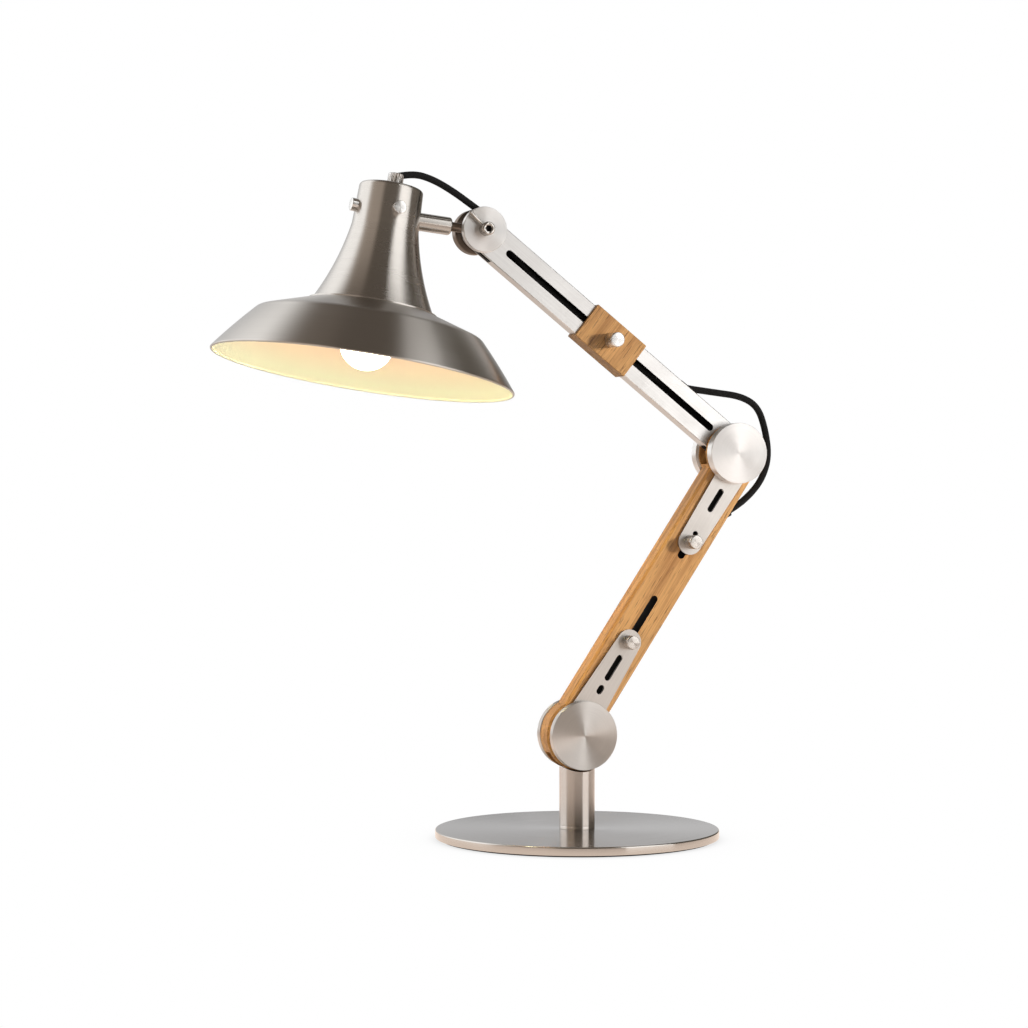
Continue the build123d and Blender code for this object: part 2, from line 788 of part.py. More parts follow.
def bulb_cap():
    return barrel(bulb_cap_radius, bulb_cap_foot, holder_bore_top)


def bulb_glass():
    globe = Pos(0, 0, bulb_centre_height) * Sphere(bulb_radius)
    return globe + barrel(bulb_neck_radius, bulb_centre_height, bulb_cap_foot)


def gland():
    top = neck_top_height + gland_height
    body = barrel(gland_radius, neck_top_height, top)
    body = chamfer(end_edges(body, Axis.Z)[-1], gland_chamfer)
    body += barrel(gland_spigot_radius, neck_top_height - gland_spigot_length, neck_top_height)
    body -= barrel(flex_radius + flex_fit, neck_top_height - gland_spigot_length, top)
    exit_bore = barrel(flex_radius + flex_fit, 0, 2 * gland_radius)
    body -= Location((0, 0, top - gland_exit_drop), (0, 90 - gland_exit_rise, 0)) * exit_bore
    return Pos(gland_offset, 0, 0) * body


def gland_nut():
    top = neck_inner_top
    ring = barrel(gland_nut_radius, top - gland_nut_height, top)
    return Pos(gland_offset, 0, 0) * (ring - barrel(gland_spigot_radius + seat_fit, seat_height, top))


def flex_tail():
    top = neck_top_height + gland_height - gland_exit_drop - flex_radius - flex_fit
    return Pos(gland_offset, 0, 0) * barrel(flex_radius, tail_low, top)


# Flex, as points in x, y and z
def arm_point(along, across):
    x, z = turned(along, across, upper_slope)
    return (head_x + x, flex_side, head_z + z)


def exit_point(along, across):
    return arm_point(upper_span - exit_reach + along, across)


def beside(x, z, step):
    return (x + step[0], step[1], z + step[2])


def oak_point(along, across):
    x, z = turned(across, along, oak_tilt)
    return (oak_x + x, 0, oak_z + z)


def shade_point(x, z):
    spot = (shade_place * Location((x, 0, z))).position
    return (spot.X, spot.Y, spot.Z)


def flex_head():
    level = neck_top_height + gland_height - gland_exit_drop
    run_x, run_z = heading(gland_exit_rise, gland_lead)
    points = [shade_point(gland_offset, level), shade_point(gland_offset + run_x, level + run_z)]
    points += [beside(head_x, head_z, step) for step in head_route]
    points += [arm_point(along, across) for along, across in head_arm_route]
    return cord("flex_head", points + [arm_point(tube_route_start, 0)])


def flex_arm():
    points = [arm_point(tube_route_start + cord_gap, 0)]
    points += [arm_point(upper_span * share, across) for share, across in tube_share_route]
    points += [exit_point(along, across) for along, across in tube_exit_route]
    return cord("flex_arm", points + [exit_point(*tube_route_end)])


def flex_elbow():
    reach = oak_span - bush_drop
    lead = oak_point(reach + flex_lead * bush_run, oak_radius + flex_lead * bush_turn)
    sunk = oak_point(reach - flex_sunk * bush_run, oak_radius - flex_sunk * bush_turn)
    start = exit_point(tube_route_end[0] + cord_gap, tube_route_end[1] + cord_gap)
    loop = [beside(elbow_x, elbow_z, step) for step in elbow_route]
    return cord("flex_elbow", [start, exit_point(*elbow_lead)] + loop + [lead, sunk])


save("base_pad", base_pad())
save("base_plate", base_plate())
save("base_bolt", base_bolt())
save("post_foot", post_foot())
save("post_tube", post_tube())
save("mains_gland", mains_gland())
save("shoulder_tongue", shoulder_tongue())

save("oak_arm", oak_place * oak_arm())
save("arm_bush", oak_place * arm_bush())
save("shoulder_bracket_front", oak_place * shoulder_bracket(-plate_face, -oak_half))
save("shoulder_bracket_rear", oak_place * shoulder_bracket(oak_half, plate_face))
save("elbow_bracket_front", oak_place * elbow_bracket(-plate_face, -oak_half))
save("elbow_bracket_rear", oak_place * elbow_bracket(oak_half, plate_face))
for side, word in ((-1, "front"), (1, "rear")):
    save("shoulder_disc_" + word, oak_place * joint_disc(pivot_offset, 0, shoulder_disc_radius,
                                                         shoulder_disc_thickness, shoulder_bolt_grip, side))
    save("elbow_disc_" + word, oak_place * joint_disc(-pivot_offset, oak_span, elbow_disc_radius,
                                                      elbow_disc_thickness, elbow_bolt_grip, side))
shoulder_bolt_end = plate_face + shoulder_bolt_grip
elbow_bolt_end = plate_face + elbow_bolt_grip
shoulder_bolt = pin(pivot_offset, 0, pivot_bolt_radius, -shoulder_bolt_end, shoulder_bolt_end)
elbow_bolt = pin(-pivot_offset, oak_span, pivot_bolt_radius, -elbow_bolt_end, elbow_bolt_end)
shoulder_washers = washer_pair(pivot_offset, 0, shoulder_washer_radius, tongue_half + face_gap)
elbow_washers = washer_pair(-pivot_offset, oak_span, elbow_washer_radius, tube_half + face_gap)
save("shoulder_bolt", oak_place * shoulder_bolt)
save("elbow_bolt", oak_place * elbow_bolt)
save("shoulder_washers", oak_place * shoulder_washers)
save("elbow_washers", oak_place * elbow_washers)
save("clamp_cap_nuts", oak_place * clamp_cap_nuts())
stud_end = plate_face + stud_grip
save("shoulder_knob", oak_place * thumb_knob(0, shoulder_knob_reach, arm_knob_radius,
                                             shoulder_knob_length, plate_face, stud_radius, stud_end))
save("elbow_knob", oak_place * thumb_knob(0, oak_span - elbow_knob_reach, arm_knob_radius,
                                          elbow_knob_length, plate_face, stud_radius, stud_end))

save("upper_arm_tube", upper_place * upper_arm_tube())
save("tube_grommet", upper_place * tube_grommet())
save("elbow_bush", upper_place * elbow_bush())
rear_bore = head_boss_height + clamp_grip + running_fit
save("head_disc_front", upper_place * head_disc(head_disc_front, -1, head_boss_height + head_disc_front))
save("head_disc_rear", upper_place * head_disc(head_disc_rear, 1, rear_bore))
save("oak_block", upper_place * oak_block())
save("clamp_nut", upper_place * clamp_nut())
block_stud_end = -tube_inner + nut_gap + nut_thickness
save("block_knob", upper_place * thumb_knob(block_reach, 0, block_knob_radius, block_knob_length,
                                            block_face, block_stud_radius, block_stud_end))

clamp_place = Location((head_x, 0, head_z))
save("tilt_clamp_screw", clamp_place * tilt_clamp_screw())
save("tilt_clamp_bar", clamp_place * tilt_clamp_bar())
save("hinge_hub", hinge_place * hinge_hub())
save("stem", shade_place * stem())
save("stem_nut", shade_place * stem_nut())
save("shade_neck", shade_place * shade_neck())
save("shade_dish", shade_place * shade_dish())
save("neck_screws", shade_place * neck_screws())
save("holder_bracket", shade_place * holder_bracket())
save("lamp_holder", shade_place * lamp_holder())
save("bulb_cap", shade_place * bulb_cap())
save("bulb_glass", shade_place * bulb_glass())
save("gland", shade_place * gland())
save("gland_nut", shade_place * gland_nut())
save("flex_tail", shade_place * flex_tail())
save("flex_head", flex_head())
save("flex_arm", flex_arm())
save("flex_elbow", flex_elbow())
print("elbow", round(elbow_x, 2), round(elbow_z, 2), "head pivot", round(head_x, 2), round(head_z, 2))
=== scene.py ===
import json
import math

import bpy
from bpy.props import FloatProperty, FloatVectorProperty, IntProperty, PointerProperty
from mathutils import Matrix, Vector


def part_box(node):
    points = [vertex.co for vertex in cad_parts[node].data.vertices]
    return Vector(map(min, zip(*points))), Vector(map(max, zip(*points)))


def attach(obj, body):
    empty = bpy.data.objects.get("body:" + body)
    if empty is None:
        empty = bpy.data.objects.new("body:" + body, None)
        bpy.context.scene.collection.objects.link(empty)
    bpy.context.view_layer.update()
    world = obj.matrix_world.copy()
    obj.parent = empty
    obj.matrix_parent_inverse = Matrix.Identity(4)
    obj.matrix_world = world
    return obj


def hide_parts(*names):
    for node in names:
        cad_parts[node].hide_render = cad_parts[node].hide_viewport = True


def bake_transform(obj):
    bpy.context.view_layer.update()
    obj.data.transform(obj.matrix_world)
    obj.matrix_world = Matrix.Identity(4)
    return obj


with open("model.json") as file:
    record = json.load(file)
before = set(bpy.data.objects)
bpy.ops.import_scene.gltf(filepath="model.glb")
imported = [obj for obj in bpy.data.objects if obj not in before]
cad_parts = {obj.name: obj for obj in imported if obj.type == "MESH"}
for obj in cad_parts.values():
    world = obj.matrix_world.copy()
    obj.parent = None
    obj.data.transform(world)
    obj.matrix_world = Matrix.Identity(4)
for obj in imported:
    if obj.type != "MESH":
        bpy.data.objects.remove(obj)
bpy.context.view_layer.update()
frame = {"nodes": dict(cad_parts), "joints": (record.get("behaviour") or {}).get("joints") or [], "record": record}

bl_info = {
    "name": "Jointed Desk Lamp",
    "version": (1, 0, 0),
    "blender": (4, 5, 0),
    "location": "View3D > Sidebar > Desk Lamp",
    "description": "Dresses a jointed desk lamp of steel and oak and sets up its stage",
    "category": "Object",
}

# Places read from the frame, in metres
PIVOT = {joint["name"]: Vector(joint["pos_m"]) for joint in frame["joints"] if "pos_m" in joint}
BODY_OF = {node: body for body, nodes in frame["record"]["behaviour"]["bodies"].items() for node in nodes}
SHOULDER = PIVOT["shoulder"]
ELBOW = PIVOT["elbow"]
HEAD = PIVOT["head_tilt"]

# Angles of the arms and the shade, in degrees
OAK_TILT = 33.55
UPPER_SLOPE = 38.27
STEM_TILT = 6.4
SHADE_TURN = -2.1
SHADE_LEAN = 3.4

# How far the pivots stand off the oak arm's middle line, and the shade off the head pivot
PIVOT_OFFSET = 0.0074
SHADE_REACH = 0.08115
STEM_LEVEL = 0.13045

TURN_OAK = Matrix.Rotation(math.radians(OAK_TILT), 4, "Y")
TURN_UPPER = Matrix.Rotation(math.radians(UPPER_SLOPE), 4, "Y")
OAK_PLACE = Matrix.Translation(SHOULDER - TURN_OAK @ Vector((PIVOT_OFFSET, 0, 0))) @ TURN_OAK
UPPER_PLACE = Matrix.Translation(HEAD) @ TURN_UPPER
HINGE_PLACE = Matrix.Translation(HEAD) @ Matrix.Rotation(math.radians(STEM_TILT), 4, "Y")
HEAD_PLACE = HINGE_PLACE @ Matrix.Rotation(math.radians(SHADE_TURN), 4, "X")
STEM_FOOT = HEAD_PLACE @ Matrix.Translation((-SHADE_REACH, 0, 0))
SHADE_PLACE = (STEM_FOOT @ Matrix.Rotation(math.radians(SHADE_LEAN), 4, "Y")
               @ Matrix.Translation((0, 0, -STEM_LEVEL)))
FACE_FRONT = Matrix.Rotation(math.radians(90), 4, "X")
FACE_REAR = Matrix.Rotation(math.radians(-90), 4, "X")
FACE_RIGHT = Matrix.Rotation(math.radians(90), 4, "Y")

# Bores, walls and gaps of the stand, and the bar that cuts the saddle in the post, in metres
BOLT_BORE = 0.0041
BOLT_RECESS = 0.0081
RECESS_DEPTH = 0.0046
POST_WALL = 0.002
SPIGOT_GAP = 0.0001
SADDLE_RISE = 0.004
SADDLE_BAR = 0.08
SADDLE_SIDES = 192

# Where shade is painted dark inside the arms, in metres: the oak's slots, from and to along the arm,
# with half their width and depth, and half the depth and height of the upper arm's hollow
OAK_SLOTS = ((0.0298, 0.1347), (0.1728, 0.2462))
SLOT_HALF = 0.0034
SLOT_DEPTH = 0.0098
SLOT_EDGE = 0.0001
TUBE_HOLLOW = (0.0052, 0.01325)
HOLLOW_EDGE = 0.00004

# Middles of the shade's curves, as radius and height, seats and rounds of its pieces, and heights between
# which the bulb's glow painted on the enamel fades in, in metres
SKIRT_MIDDLE = (0.1105, 0.0201)
CORNER_MIDDLE = (0.0938, 0.0387)
NECK_MIDDLE = (0.0359, 0.0885)
SEAT_BORE = 0.044
SEAT_DROP = 0.0011
NECK_ROUND = 0.003
STEM_START = 0.0250
STEM_ROUND = 0.002
SCREW_SEAT = 0.0262
SCREW_TIP = 0.0224
SCREW_SHANK = 0.002
SCREW_ROUND = 0.0005
SOCKET_LIP = 0.0002
PAINTED_GLOW_FADE = (0.006, 0.036)
BULB_FOOT = 0.0015
BULB_TOP = 0.0528

# Angles of the neck screws round the shade and of the bead at its rim, in degrees, and how many points
# the curves have, with those of the bead that are steel
SCREW_ANGLES = (-88, 92, 182)
BEAD_START = 50
BEAD_STEP = 28
BEAD_POINTS = 11
BEAD_STEEL = 6
NECK_STEPS = 24
BULB_STEPS = 24

# Mesh work: the distances in metres within which points are one or lie on the axis, the digits that tell
# points of a profile apart, and the bends that are still shaded smooth
MERGE = 0.000002
ON_AXIS = 0.00001
PROFILE_DIGITS = 5
TURNED_CREASE = math.radians(28)
COPY_CREASE = math.radians(30)
FLEX_CREASE = math.radians(40)

# Roughness of each kind of steel, at its smoothest and its roughest, and how far the discs are brushed
GLOSS = {"foot": (0.15, 0.18), "post": (0.25, 0.27), "disc": (0.42, 0.46), "hinge": (0.26, 0.34),
         "knob": (0.20, 0.30), "shade": (0.28, 0.31), "neck": (0.25, 0.28), "stem": (0.22, 0.28),
         "screw": (0.14, 0.24), "flat": (0.30, 0.40), "fitting": (0.2, 0.3), "plain": (0.3, 0.42),
         "fastener": (0.28, 0.4), "brass": (0.2, 0.32)}
SHOULDER_BRUSHING = 1.0
ELBOW_BRUSHING = 0.85

# Patterns: the part of a noise's range that is used, scales per metre, and the flex's braid
NOISE_RANGE = (0.3, 0.7)
RINGS = 2600.0
BANDS = 240.0
RING_ROUND = 0.9
BRUSH_ACROSS = 1500.0
PLATE_ALONG = 24.0
TUBE_ALONG = 20.0
BRAID_STRANDS = 6
BRAID_PITCH = 0.0032

# Routes of the flex, the same as the part's, in metres
FLEX_SIDE = 0.0012
GLAND_OFFSET = 0.0022
GLAND_LEVEL = 0.1650
GLAND_LEAD = 0.0145
GLAND_RISE = math.radians(23)
HEAD_LOOP = [(-0.0419, 0.0013, 0.0422), (-0.0244, 0.0012, 0.0332)]
HEAD_RUN = [(-0.0180, 0.0128), (0.0005, 0.0140), (0.0195, 0.0102), (0.0395, 0.0032), (0.0570, 0.0),
            (0.0700, 0.0)]
TUBE_RUN = [(0.0700, 0.0), (0.1020, 0.0), (0.1360, 0.0008), (0.1680, -0.0004), (0.1940, 0.0010),
            (0.2175, 0.0090), (0.2350, 0.0196)]
ELBOW_START = [(0.2350, 0.0196), (0.2496, 0.02844)]
ELBOW_LOOP = [(0.0120, 0.0006, 0.0496), (0.0275, 0.0005, 0.0406), (0.0344, 0.0004, 0.0210),
              (0.0375, 0.0002, -0.0010), (0.0330, 0.0001, -0.0180), (0.0235, 0.0, -0.0320)]
ELBOW_END = [(0.2405, 0.0235), (0.2258, 0.0150)]

# What the steel mirrors round the room: part of a turn from behind the lamp, by way of its left and
# front, and the wall's colour there. It is grey behind, white on the left, brown at the front left, and dark
# in front and on the right
BACKDROP_TURN = 0.80278
BACKDROP = [(0.0, (0.55, 0.55, 0.56)), (0.08, (0.80, 0.80, 0.80)), (0.14, (1.65, 1.65, 1.65)),
            (0.27, (1.65, 1.65, 1.65)), (0.31, (0.56, 0.48, 0.41)), (0.425, (0.52, 0.44, 0.375)),
            (0.465, (0.16, 0.135, 0.11)), (0.585, (0.15, 0.13, 0.11)), (0.72, (0.13, 0.115, 0.095)),
            (0.945, (0.14, 0.125, 0.105)), (0.975, (0.62, 0.62, 0.63))]

# The dark ceiling above those walls, and between which upward parts of a direction it fades in
CEILING = (0.135, 0.11, 0.09)
CEILING_RISE = (0.72, 0.95)

# Lamps of the stage: where each stands, where it points, and its width and height, in metres
KEY_PANEL = ((1.70, -1.75, 0.62), (0.0, 0.0, 0.35), 0.28, 0.32)
TALL_SCREEN = ((1.40, -1.67, 1.55), (0.0, 0.0, 1.55), 1.75, 3.2)
TOP_SCREEN = ((1.2, -0.12, 2.49), (-0.19, 0.0, 0.42), 0.45, 0.8)
GLOW_PANEL = ((-0.85, -0.12, 0.30), (0.03, 0.0, 0.20), 0.12, 0.12)
GLOW_SPREAD = math.radians(26)

# The floor: its size, its level, the reach of the soft shadow where a piece stands on it, and from where to
# where the pool of lamplight that steel mirrors fades, in metres
FLOOR_SIZE = 14
FLOOR_LEVEL = -0.0002
SHADOW_REACH = 0.16
POOL_FADE = (0.3, 1.0)

# Width of the camera's sensor, in millimetres
SENSOR_WIDTH = 36.0


def length(label, about, default):
    """A size that a user may change."""
    return FloatProperty(name=label, description=about, default=default, min=0.0, unit="LENGTH", precision=4)


def share(label, about, default):
    """A number from nought to one that a user may change."""
    return FloatProperty(name=label, description=about, default=default, min=0.0, max=1.0, subtype="FACTOR")


def watts(label, about, default):
    """The power of a lamp of the stage that a user may change."""
    return FloatProperty(name=label, description=about, default=default, min=0.0, unit="POWER")


def colour(label, about, default):
    """A colour that a user may change."""
    return FloatVectorProperty(name=label, description=about, default=default, size=3, min=0.0, max=1.0,
                               subtype="COLOR")


class LampSizes(bpy.types.PropertyGroup):
    """Sizes of the turned pieces and of the flex."""
    lathe_steps: IntProperty(name="Lathe steps", description="Facets round a turned piece", default=120,
                             min=24)
    foot_edge: length("Foot edge", "Rounding of the foot's top edge", 0.0012)
    disc_edge: length("Disc edge", "Bevel on the rim of a joint disc", 0.0006)
    knob_edge: length("Knob edge", "Rounding on the front of a thumb knob", 0.0008)
    stud: length("Stud radius", "Radius of a thumb knob's stud", 0.0025)
    shoulder_knob: length("Shoulder knob", "Length of the lower thumb knob", 0.010)
    elbow_knob: length("Elbow knob", "Length of the upper thumb knob", 0.014)
    block_knob: length("Block knob", "Length of the clamp block's thumb knob", 0.016)
    boss_radius: length("Boss radius", "Radius of the boss behind a head disc", 0.013)
    boss_height: length("Boss height", "Height of the boss behind a head disc", 0.002)
    shade_wall: length("Shade wall", "Thickness of the spun sheet", 0.0010)
    rim_radius: length("Rim radius", "Radius of the shade at its rim", 0.1256)
    rim_bead: length("Rim bead", "Radius of the rolled bead at the rim", 0.0011)
    skirt_radius: length("Skirt radius", "Radius where the skirt meets the roof", 0.0959)
    skirt_height: length("Skirt height", "Height where the skirt meets the roof", 0.0367)
    roof_radius: length("Roof radius", "Radius where the roof's corner begins", 0.0912)
    roof_height: length("Roof height", "Height where the roof's corner begins", 0.0400)
    seat_radius: length("Seat radius", "Radius of the seat under the neck", 0.0534)
    seat_height: length("Seat height", "Height of the seat under the neck", 0.0540)
    neck_foot: length("Neck foot", "Radius of the neck on its seat", 0.0505)
    neck_bend: length("Neck bend", "Radius where the neck turns straight", 0.0279)
    neck_bend_height: length("Neck bend height", "Height where the neck turns straight", 0.1213)
    neck_top: length("Neck top", "Radius of the neck's top", 0.0266)
    neck_height: length("Neck height", "Height of the neck's top", 0.1558)
    stem_radius: length("Stem radius", "Radius of the stem behind the neck", 0.0075)
    stem_near: length("Stem end", "Distance from the head pivot to the stem's end", 0.0260)
    screw_head: length("Screw head", "Radius of a neck screw's head", 0.0054)
    screw_height: length("Screw height", "Height of the neck screws", 0.1346)
    screw_reach: length("Screw reach", "Distance from the shade's axis to a screw head's face", 0.0324)
    bulb_radius: length("Bulb radius", "Radius of the bulb's globe", 0.0225)
    bulb_neck: length("Bulb neck", "Radius of the bulb's neck", 0.0124)
    socket_radius: length("Socket radius", "Radius over the corners of the clamp screw's socket", 0.00295)
    saddle_radius: length("Saddle radius", "Radius of the saddle in the post's top", 0.0308)
    flex_radius: length("Flex radius", "Radius of the flex", 0.0029)


class LampFinish(bpy.types.PropertyGroup):
    """Colours and finishes of the lamp."""
    steel: colour("Steel", "Colour of the foot, the shade and most fittings", (0.53, 0.505, 0.475))
    bright_steel: colour("Bright steel", "Colour of the gland, screws and block knob", (0.78, 0.775, 0.765))
    tube_steel: colour("Tube steel", "Colour of the upper arm", (0.74, 0.735, 0.725))
    plate_steel: colour("Plate steel", "Colour of the bracket plates and their knobs", (0.58, 0.555, 0.525))
    # Painted shade: the joint discs are one steel, painted darker here at the shoulder for how light falls on them
    shaded_disc_steel: colour("Disc steel", "Colour of the shoulder discs", (0.69, 0.67, 0.645))
    post_steel: colour("Post steel", "Colour of the post", (0.58, 0.54, 0.51))
    # Painted light: the elbow and head front discs are painted lighter than the shoulder discs of the same steel
    lit_disc_steel: colour("Elbow steel", "Colour of the elbow and head discs", (0.85, 0.845, 0.835))
    # Painted shade: the rear head disc and the hub are the disc steel, painted dark for the shade they stand in
    shaded_hinge_steel: colour("Dark steel", "Colour of the oiled steel at the head hinge", (0.25, 0.20, 0.165))
    # Painted shade: the inside of the upper arm and the clamp screw's socket are painted near black for the shade
    # in them
    painted_hollow_shade: colour("Hollow steel", "Colour of the bare steel inside the arm", (0.010, 0.009, 0.008))
    oak_pale: colour("Pale oak", "Colour of the oak's pale grain", (0.78, 0.415, 0.15))
    oak_dark: colour("Dark oak", "Colour of the oak's dark grain", (0.40, 0.17, 0.05))
    # Painted shade: the oak's slots are painted near black for the deep shade in them
    painted_slot_shade: colour("Stained oak", "Colour of the stain in the oak's slots", (0.005, 0.0035, 0.0025))
    enamel: colour("Enamel", "Colour inside the shade, near its rim", (1.0, 1.0, 0.83))
    # Painted glow: the enamel is painted warmer near the bulb for the bulb's light on it
    painted_glow_enamel: colour("Warm enamel", "Colour inside the shade, near the bulb", (0.83, 0.525, 0.46))
    glow: colour("Glow", "Colour of the lit bulb", (1.0, 0.97, 0.61))
    glow_power: FloatProperty(name="Glow strength", description="Brightness of the bulb's glass",
                              default=16.8)
    opal: colour("Opal glass", "Colour of the bulb's glass under its glow", (0.95, 0.94, 0.90))
    brass: colour("Brass", "Colour of the bulb's cap", (0.75, 0.52, 0.24))
    ceramic: colour("Ceramic", "Colour of the lamp holder", (0.78, 0.77, 0.74))
    fibre: colour("Fibre", "Colour of the friction washers", (0.05, 0.045, 0.04))
    flex_cloth: colour("Flex", "Colour of the braided flex", (0.009, 0.0088, 0.009))
    rubber: colour("Rubber", "Colour of pads and bushes", (0.012, 0.012, 0.013))
    brushing: share("Brushing", "How far the steel's brushing stretches its highlights", 0.95)


class LampStage(bpy.types.PropertyGroup):
    """Camera, lights and floor."""
    eye: FloatVectorProperty(name="Eye", description="Where the camera stands", subtype="TRANSLATION",
                             default=(-0.76665, -2.06279, 0.2945), size=3, unit="LENGTH")
    heading: FloatProperty(name="Heading", description="Turn of the camera about the vertical",
                           subtype="ANGLE", default=math.radians(-19))
    lens: FloatProperty(name="Lens", description="Focal length in millimetres", default=91.05)
    rise: FloatProperty(name="Rise", description="Upward shift of the view", default=-0.02335)
    key_light: watts("Key light", "Power of the lamp on the right", 40.0)
    screen_light: watts("Screen light", "Power of the tall screen that steel mirrors", 31.0)
    top_light: watts("Top light", "Power of the screen overhead that steel mirrors", 0.9)
    warm_light: watts("Warm light", "Power of the warm beam on the oak", 0.13)
    warm_tint: colour("Warm tint", "Colour of the warm beam", (1.0, 0.82, 0.42))
    soft_light: FloatProperty(name="Soft light", description="Strength of the light from all round",
                              default=0.18)
    soft_tint: colour("Soft tint", "Colour of the light from all round", (1.0, 0.99, 0.97))
    ground: colour("Ground", "Colour of the floor and backdrop", (1.0, 1.0, 1.0))
    warm_ground: colour("Warm ground", "Colour of the lamplit floor in the steel", (0.95, 0.80, 0.70))


def sizes():
    """The scene's own sizes."""
    return bpy.context.scene.lamp_sizes


def finish_of():
    """The scene's own finishes."""
    return bpy.context.scene.lamp_finish


# Modelling tools
def select_only(piece):
    """Selects one object alone and makes it active."""
    bpy.ops.object.select_all(action="DESELECT")
    piece.select_set(True)
    bpy.context.view_layer.objects.active = piece


def eased(points, steps=5):
    """A profile in which each corner that has a third number is rounded to that radius."""
    line = []
    for index, point in enumerate(points):
        corner = Vector(point[:2])
        if len(point) == 2:
            line.append(corner)
            continue
        back = (Vector(points[index - 1][:2]) - corner).normalized()
        ahead = (Vector(points[index + 1][:2]) - corner).normalized()
        half = back.angle(ahead) / 2
        centre = corner + (back + ahead).normalized() * (point[2] / math.sin(half))
        reach = point[2] / math.tan(half)
        first = corner + back * reach - centre
        last = corner + ahead * reach - centre
        for step in range(steps + 1):
            line.append(centre + first.lerp(last, step / steps).normalized() * point[2])
    return line


def arc_by(start, middle, end, steps=12):
    """Points of the arc through three points, from start to end."""
    first, second, third = Vector(start), Vector(middle), Vector(end)
    chord = second - first
    other = third - first
    cross = 2 * (chord.x * other.y - chord.y * other.x)
    offset = Vector((other.y * chord.length_squared - chord.y * other.length_squared,
                     chord.x * other.length_squared - other.x * chord.length_squared)) / cross
    centre = first + offset
    begin = math.atan2(-offset.y, -offset.x)
    finish = math.atan2(third.y - centre.y, third.x - centre.x)
    sweep = (finish - begin + math.pi) % (2 * math.pi) - math.pi
    turns = [begin + sweep * step / steps for step in range(steps + 1)]
    return [centre + Vector((math.cos(turn), math.sin(turn))) * offset.length for turn in turns]


def turn_on_lathe(name, profile):
    """Draws a profile of radius and height, spins it round the vertical and closes its seams."""
    bpy.ops.object.select_all(action="DESELECT")
    bpy.ops.mesh.primitive_plane_add(size=profile[1][0] + profile[0][0], location=(0, 0, 0))
    piece = bpy.context.active_object
    piece.name = name
    piece.data.name = name
    bpy.ops.object.mode_set(mode="EDIT")
    bpy.ops.mesh.select_all(action="SELECT")
    bpy.ops.mesh.merge(type="CENTER")
    bpy.ops.transform.translate(value=(profile[0][0], 0, profile[0][1]))
    for here, there in zip(profile, profile[1:]):
        step = {"value": (there[0] - here[0], 0, there[1] - here[1])}
        bpy.ops.mesh.extrude_region_move(TRANSFORM_OT_translate=step)
    bpy.ops.mesh.select_all(action="SELECT")
    bpy.ops.mesh.spin(steps=sizes().lathe_steps, angle=2 * math.pi, center=(0, 0, 0), axis=(0, 0, 1))
    bpy.ops.mesh.select_all(action="SELECT")
    bpy.ops.mesh.remove_doubles(threshold=MERGE)
    bpy.ops.mesh.normals_make_consistent(inside=False)
    bpy.ops.object.mode_set(mode="OBJECT")
    unwrap_turned(piece, profile)
    bpy.ops.object.shade_smooth_by_angle(angle=TURNED_CREASE)
    return piece


def unwrap_turned(piece, profile):
    """Gives a turned piece a map: turns round the axis across, metres along the profile up."""
    along = {}
    travelled = 0.0
    for index, point in enumerate(profile):
        if index:
            travelled += (Vector(point) - Vector(profile[index - 1])).length
        along.setdefault((round(point[0], PROFILE_DIGITS), round(point[1], PROFILE_DIGITS)), travelled)
    mesh = piece.data
    layer = mesh.uv_layers.new(name="Turning")
    for face in mesh.polygons:
        middle = math.atan2(face.center.y, face.center.x)
        for loop in face.loop_indices:
            spot = mesh.vertices[mesh.loops[loop].vertex_index].co
            radius = math.hypot(spot.x, spot.y)
            turn = math.atan2(spot.y, spot.x) if radius > ON_AXIS else middle
            turn = middle + (turn - middle + math.pi) % (2 * math.pi) - math.pi
            level = along.get((round(radius, PROFILE_DIGITS), round(spot.z, PROFILE_DIGITS)), 0.0)
            layer.data[loop].uv = (turn / (2 * math.pi), level)


def set_down(piece, place):
    """Moves a piece to its place and keeps that place in its mesh."""
    piece.matrix_world = place
    select_only(piece)
    bpy.ops.object.transform_apply(location=True, rotation=True, scale=True)
    return piece


def dress(piece, node, slot, *materials):
    """Puts a finished piece on its body in place of a CAD node, with its materials."""
    piece.data.materials.clear()
    for material in materials:
        piece.data.materials.append(material)
    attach(piece, BODY_OF[node])
    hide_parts(node)
    return piece


def dressed_copy(node, slot, *materials):
    """Dresses a merged and smoothly shaded copy of a CAD node's mesh in its place."""
    name = node.capitalize()
    piece = bpy.data.objects.new(name, frame["nodes"][node].data.copy())
    piece.data.name = name
    bpy.context.scene.collection.objects.link(piece)
    select_only(piece)
    bpy.ops.object.mode_set(mode="EDIT")
    bpy.ops.mesh.select_all(action="SELECT")
    bpy.ops.mesh.remove_doubles(threshold=MERGE)
    bpy.ops.object.mode_set(mode="OBJECT")
    bpy.ops.object.shade_smooth_by_angle(angle=COPY_CREASE)
    return dress(piece, node, slot, *materials)


def paint(material, *nodes):
    """Gives CAD nodes that stay their material."""
    for node in nodes:
        mesh = frame["nodes"][node].data
        mesh.materials.clear()
        mesh.materials.append(material)


# Material tools
def blank(name):
    """A new node material with its tree and its shader."""
    material = bpy.data.materials.new(name)
    material.use_nodes = True
    return material, material.node_tree, material.node_tree.nodes["Principled BSDF"]


def add(tree, kind, settings=None, **inputs):
    """Adds a node, sets its options, and sets or links its inputs by name."""
    made = tree.nodes.new(kind)
    for option, value in (settings or {}).items():
        setattr(made, option, value)
    for label, value in inputs.items():
        feed(tree, made.inputs[label.replace("_", " ")], value)
    return made


def feed(tree, socket, value):
    """Links a socket to another, or sets it to a value."""
    if isinstance(value, bpy.types.NodeSocket):
        tree.links.new(value, socket)
    else:
        socket.default_value = value


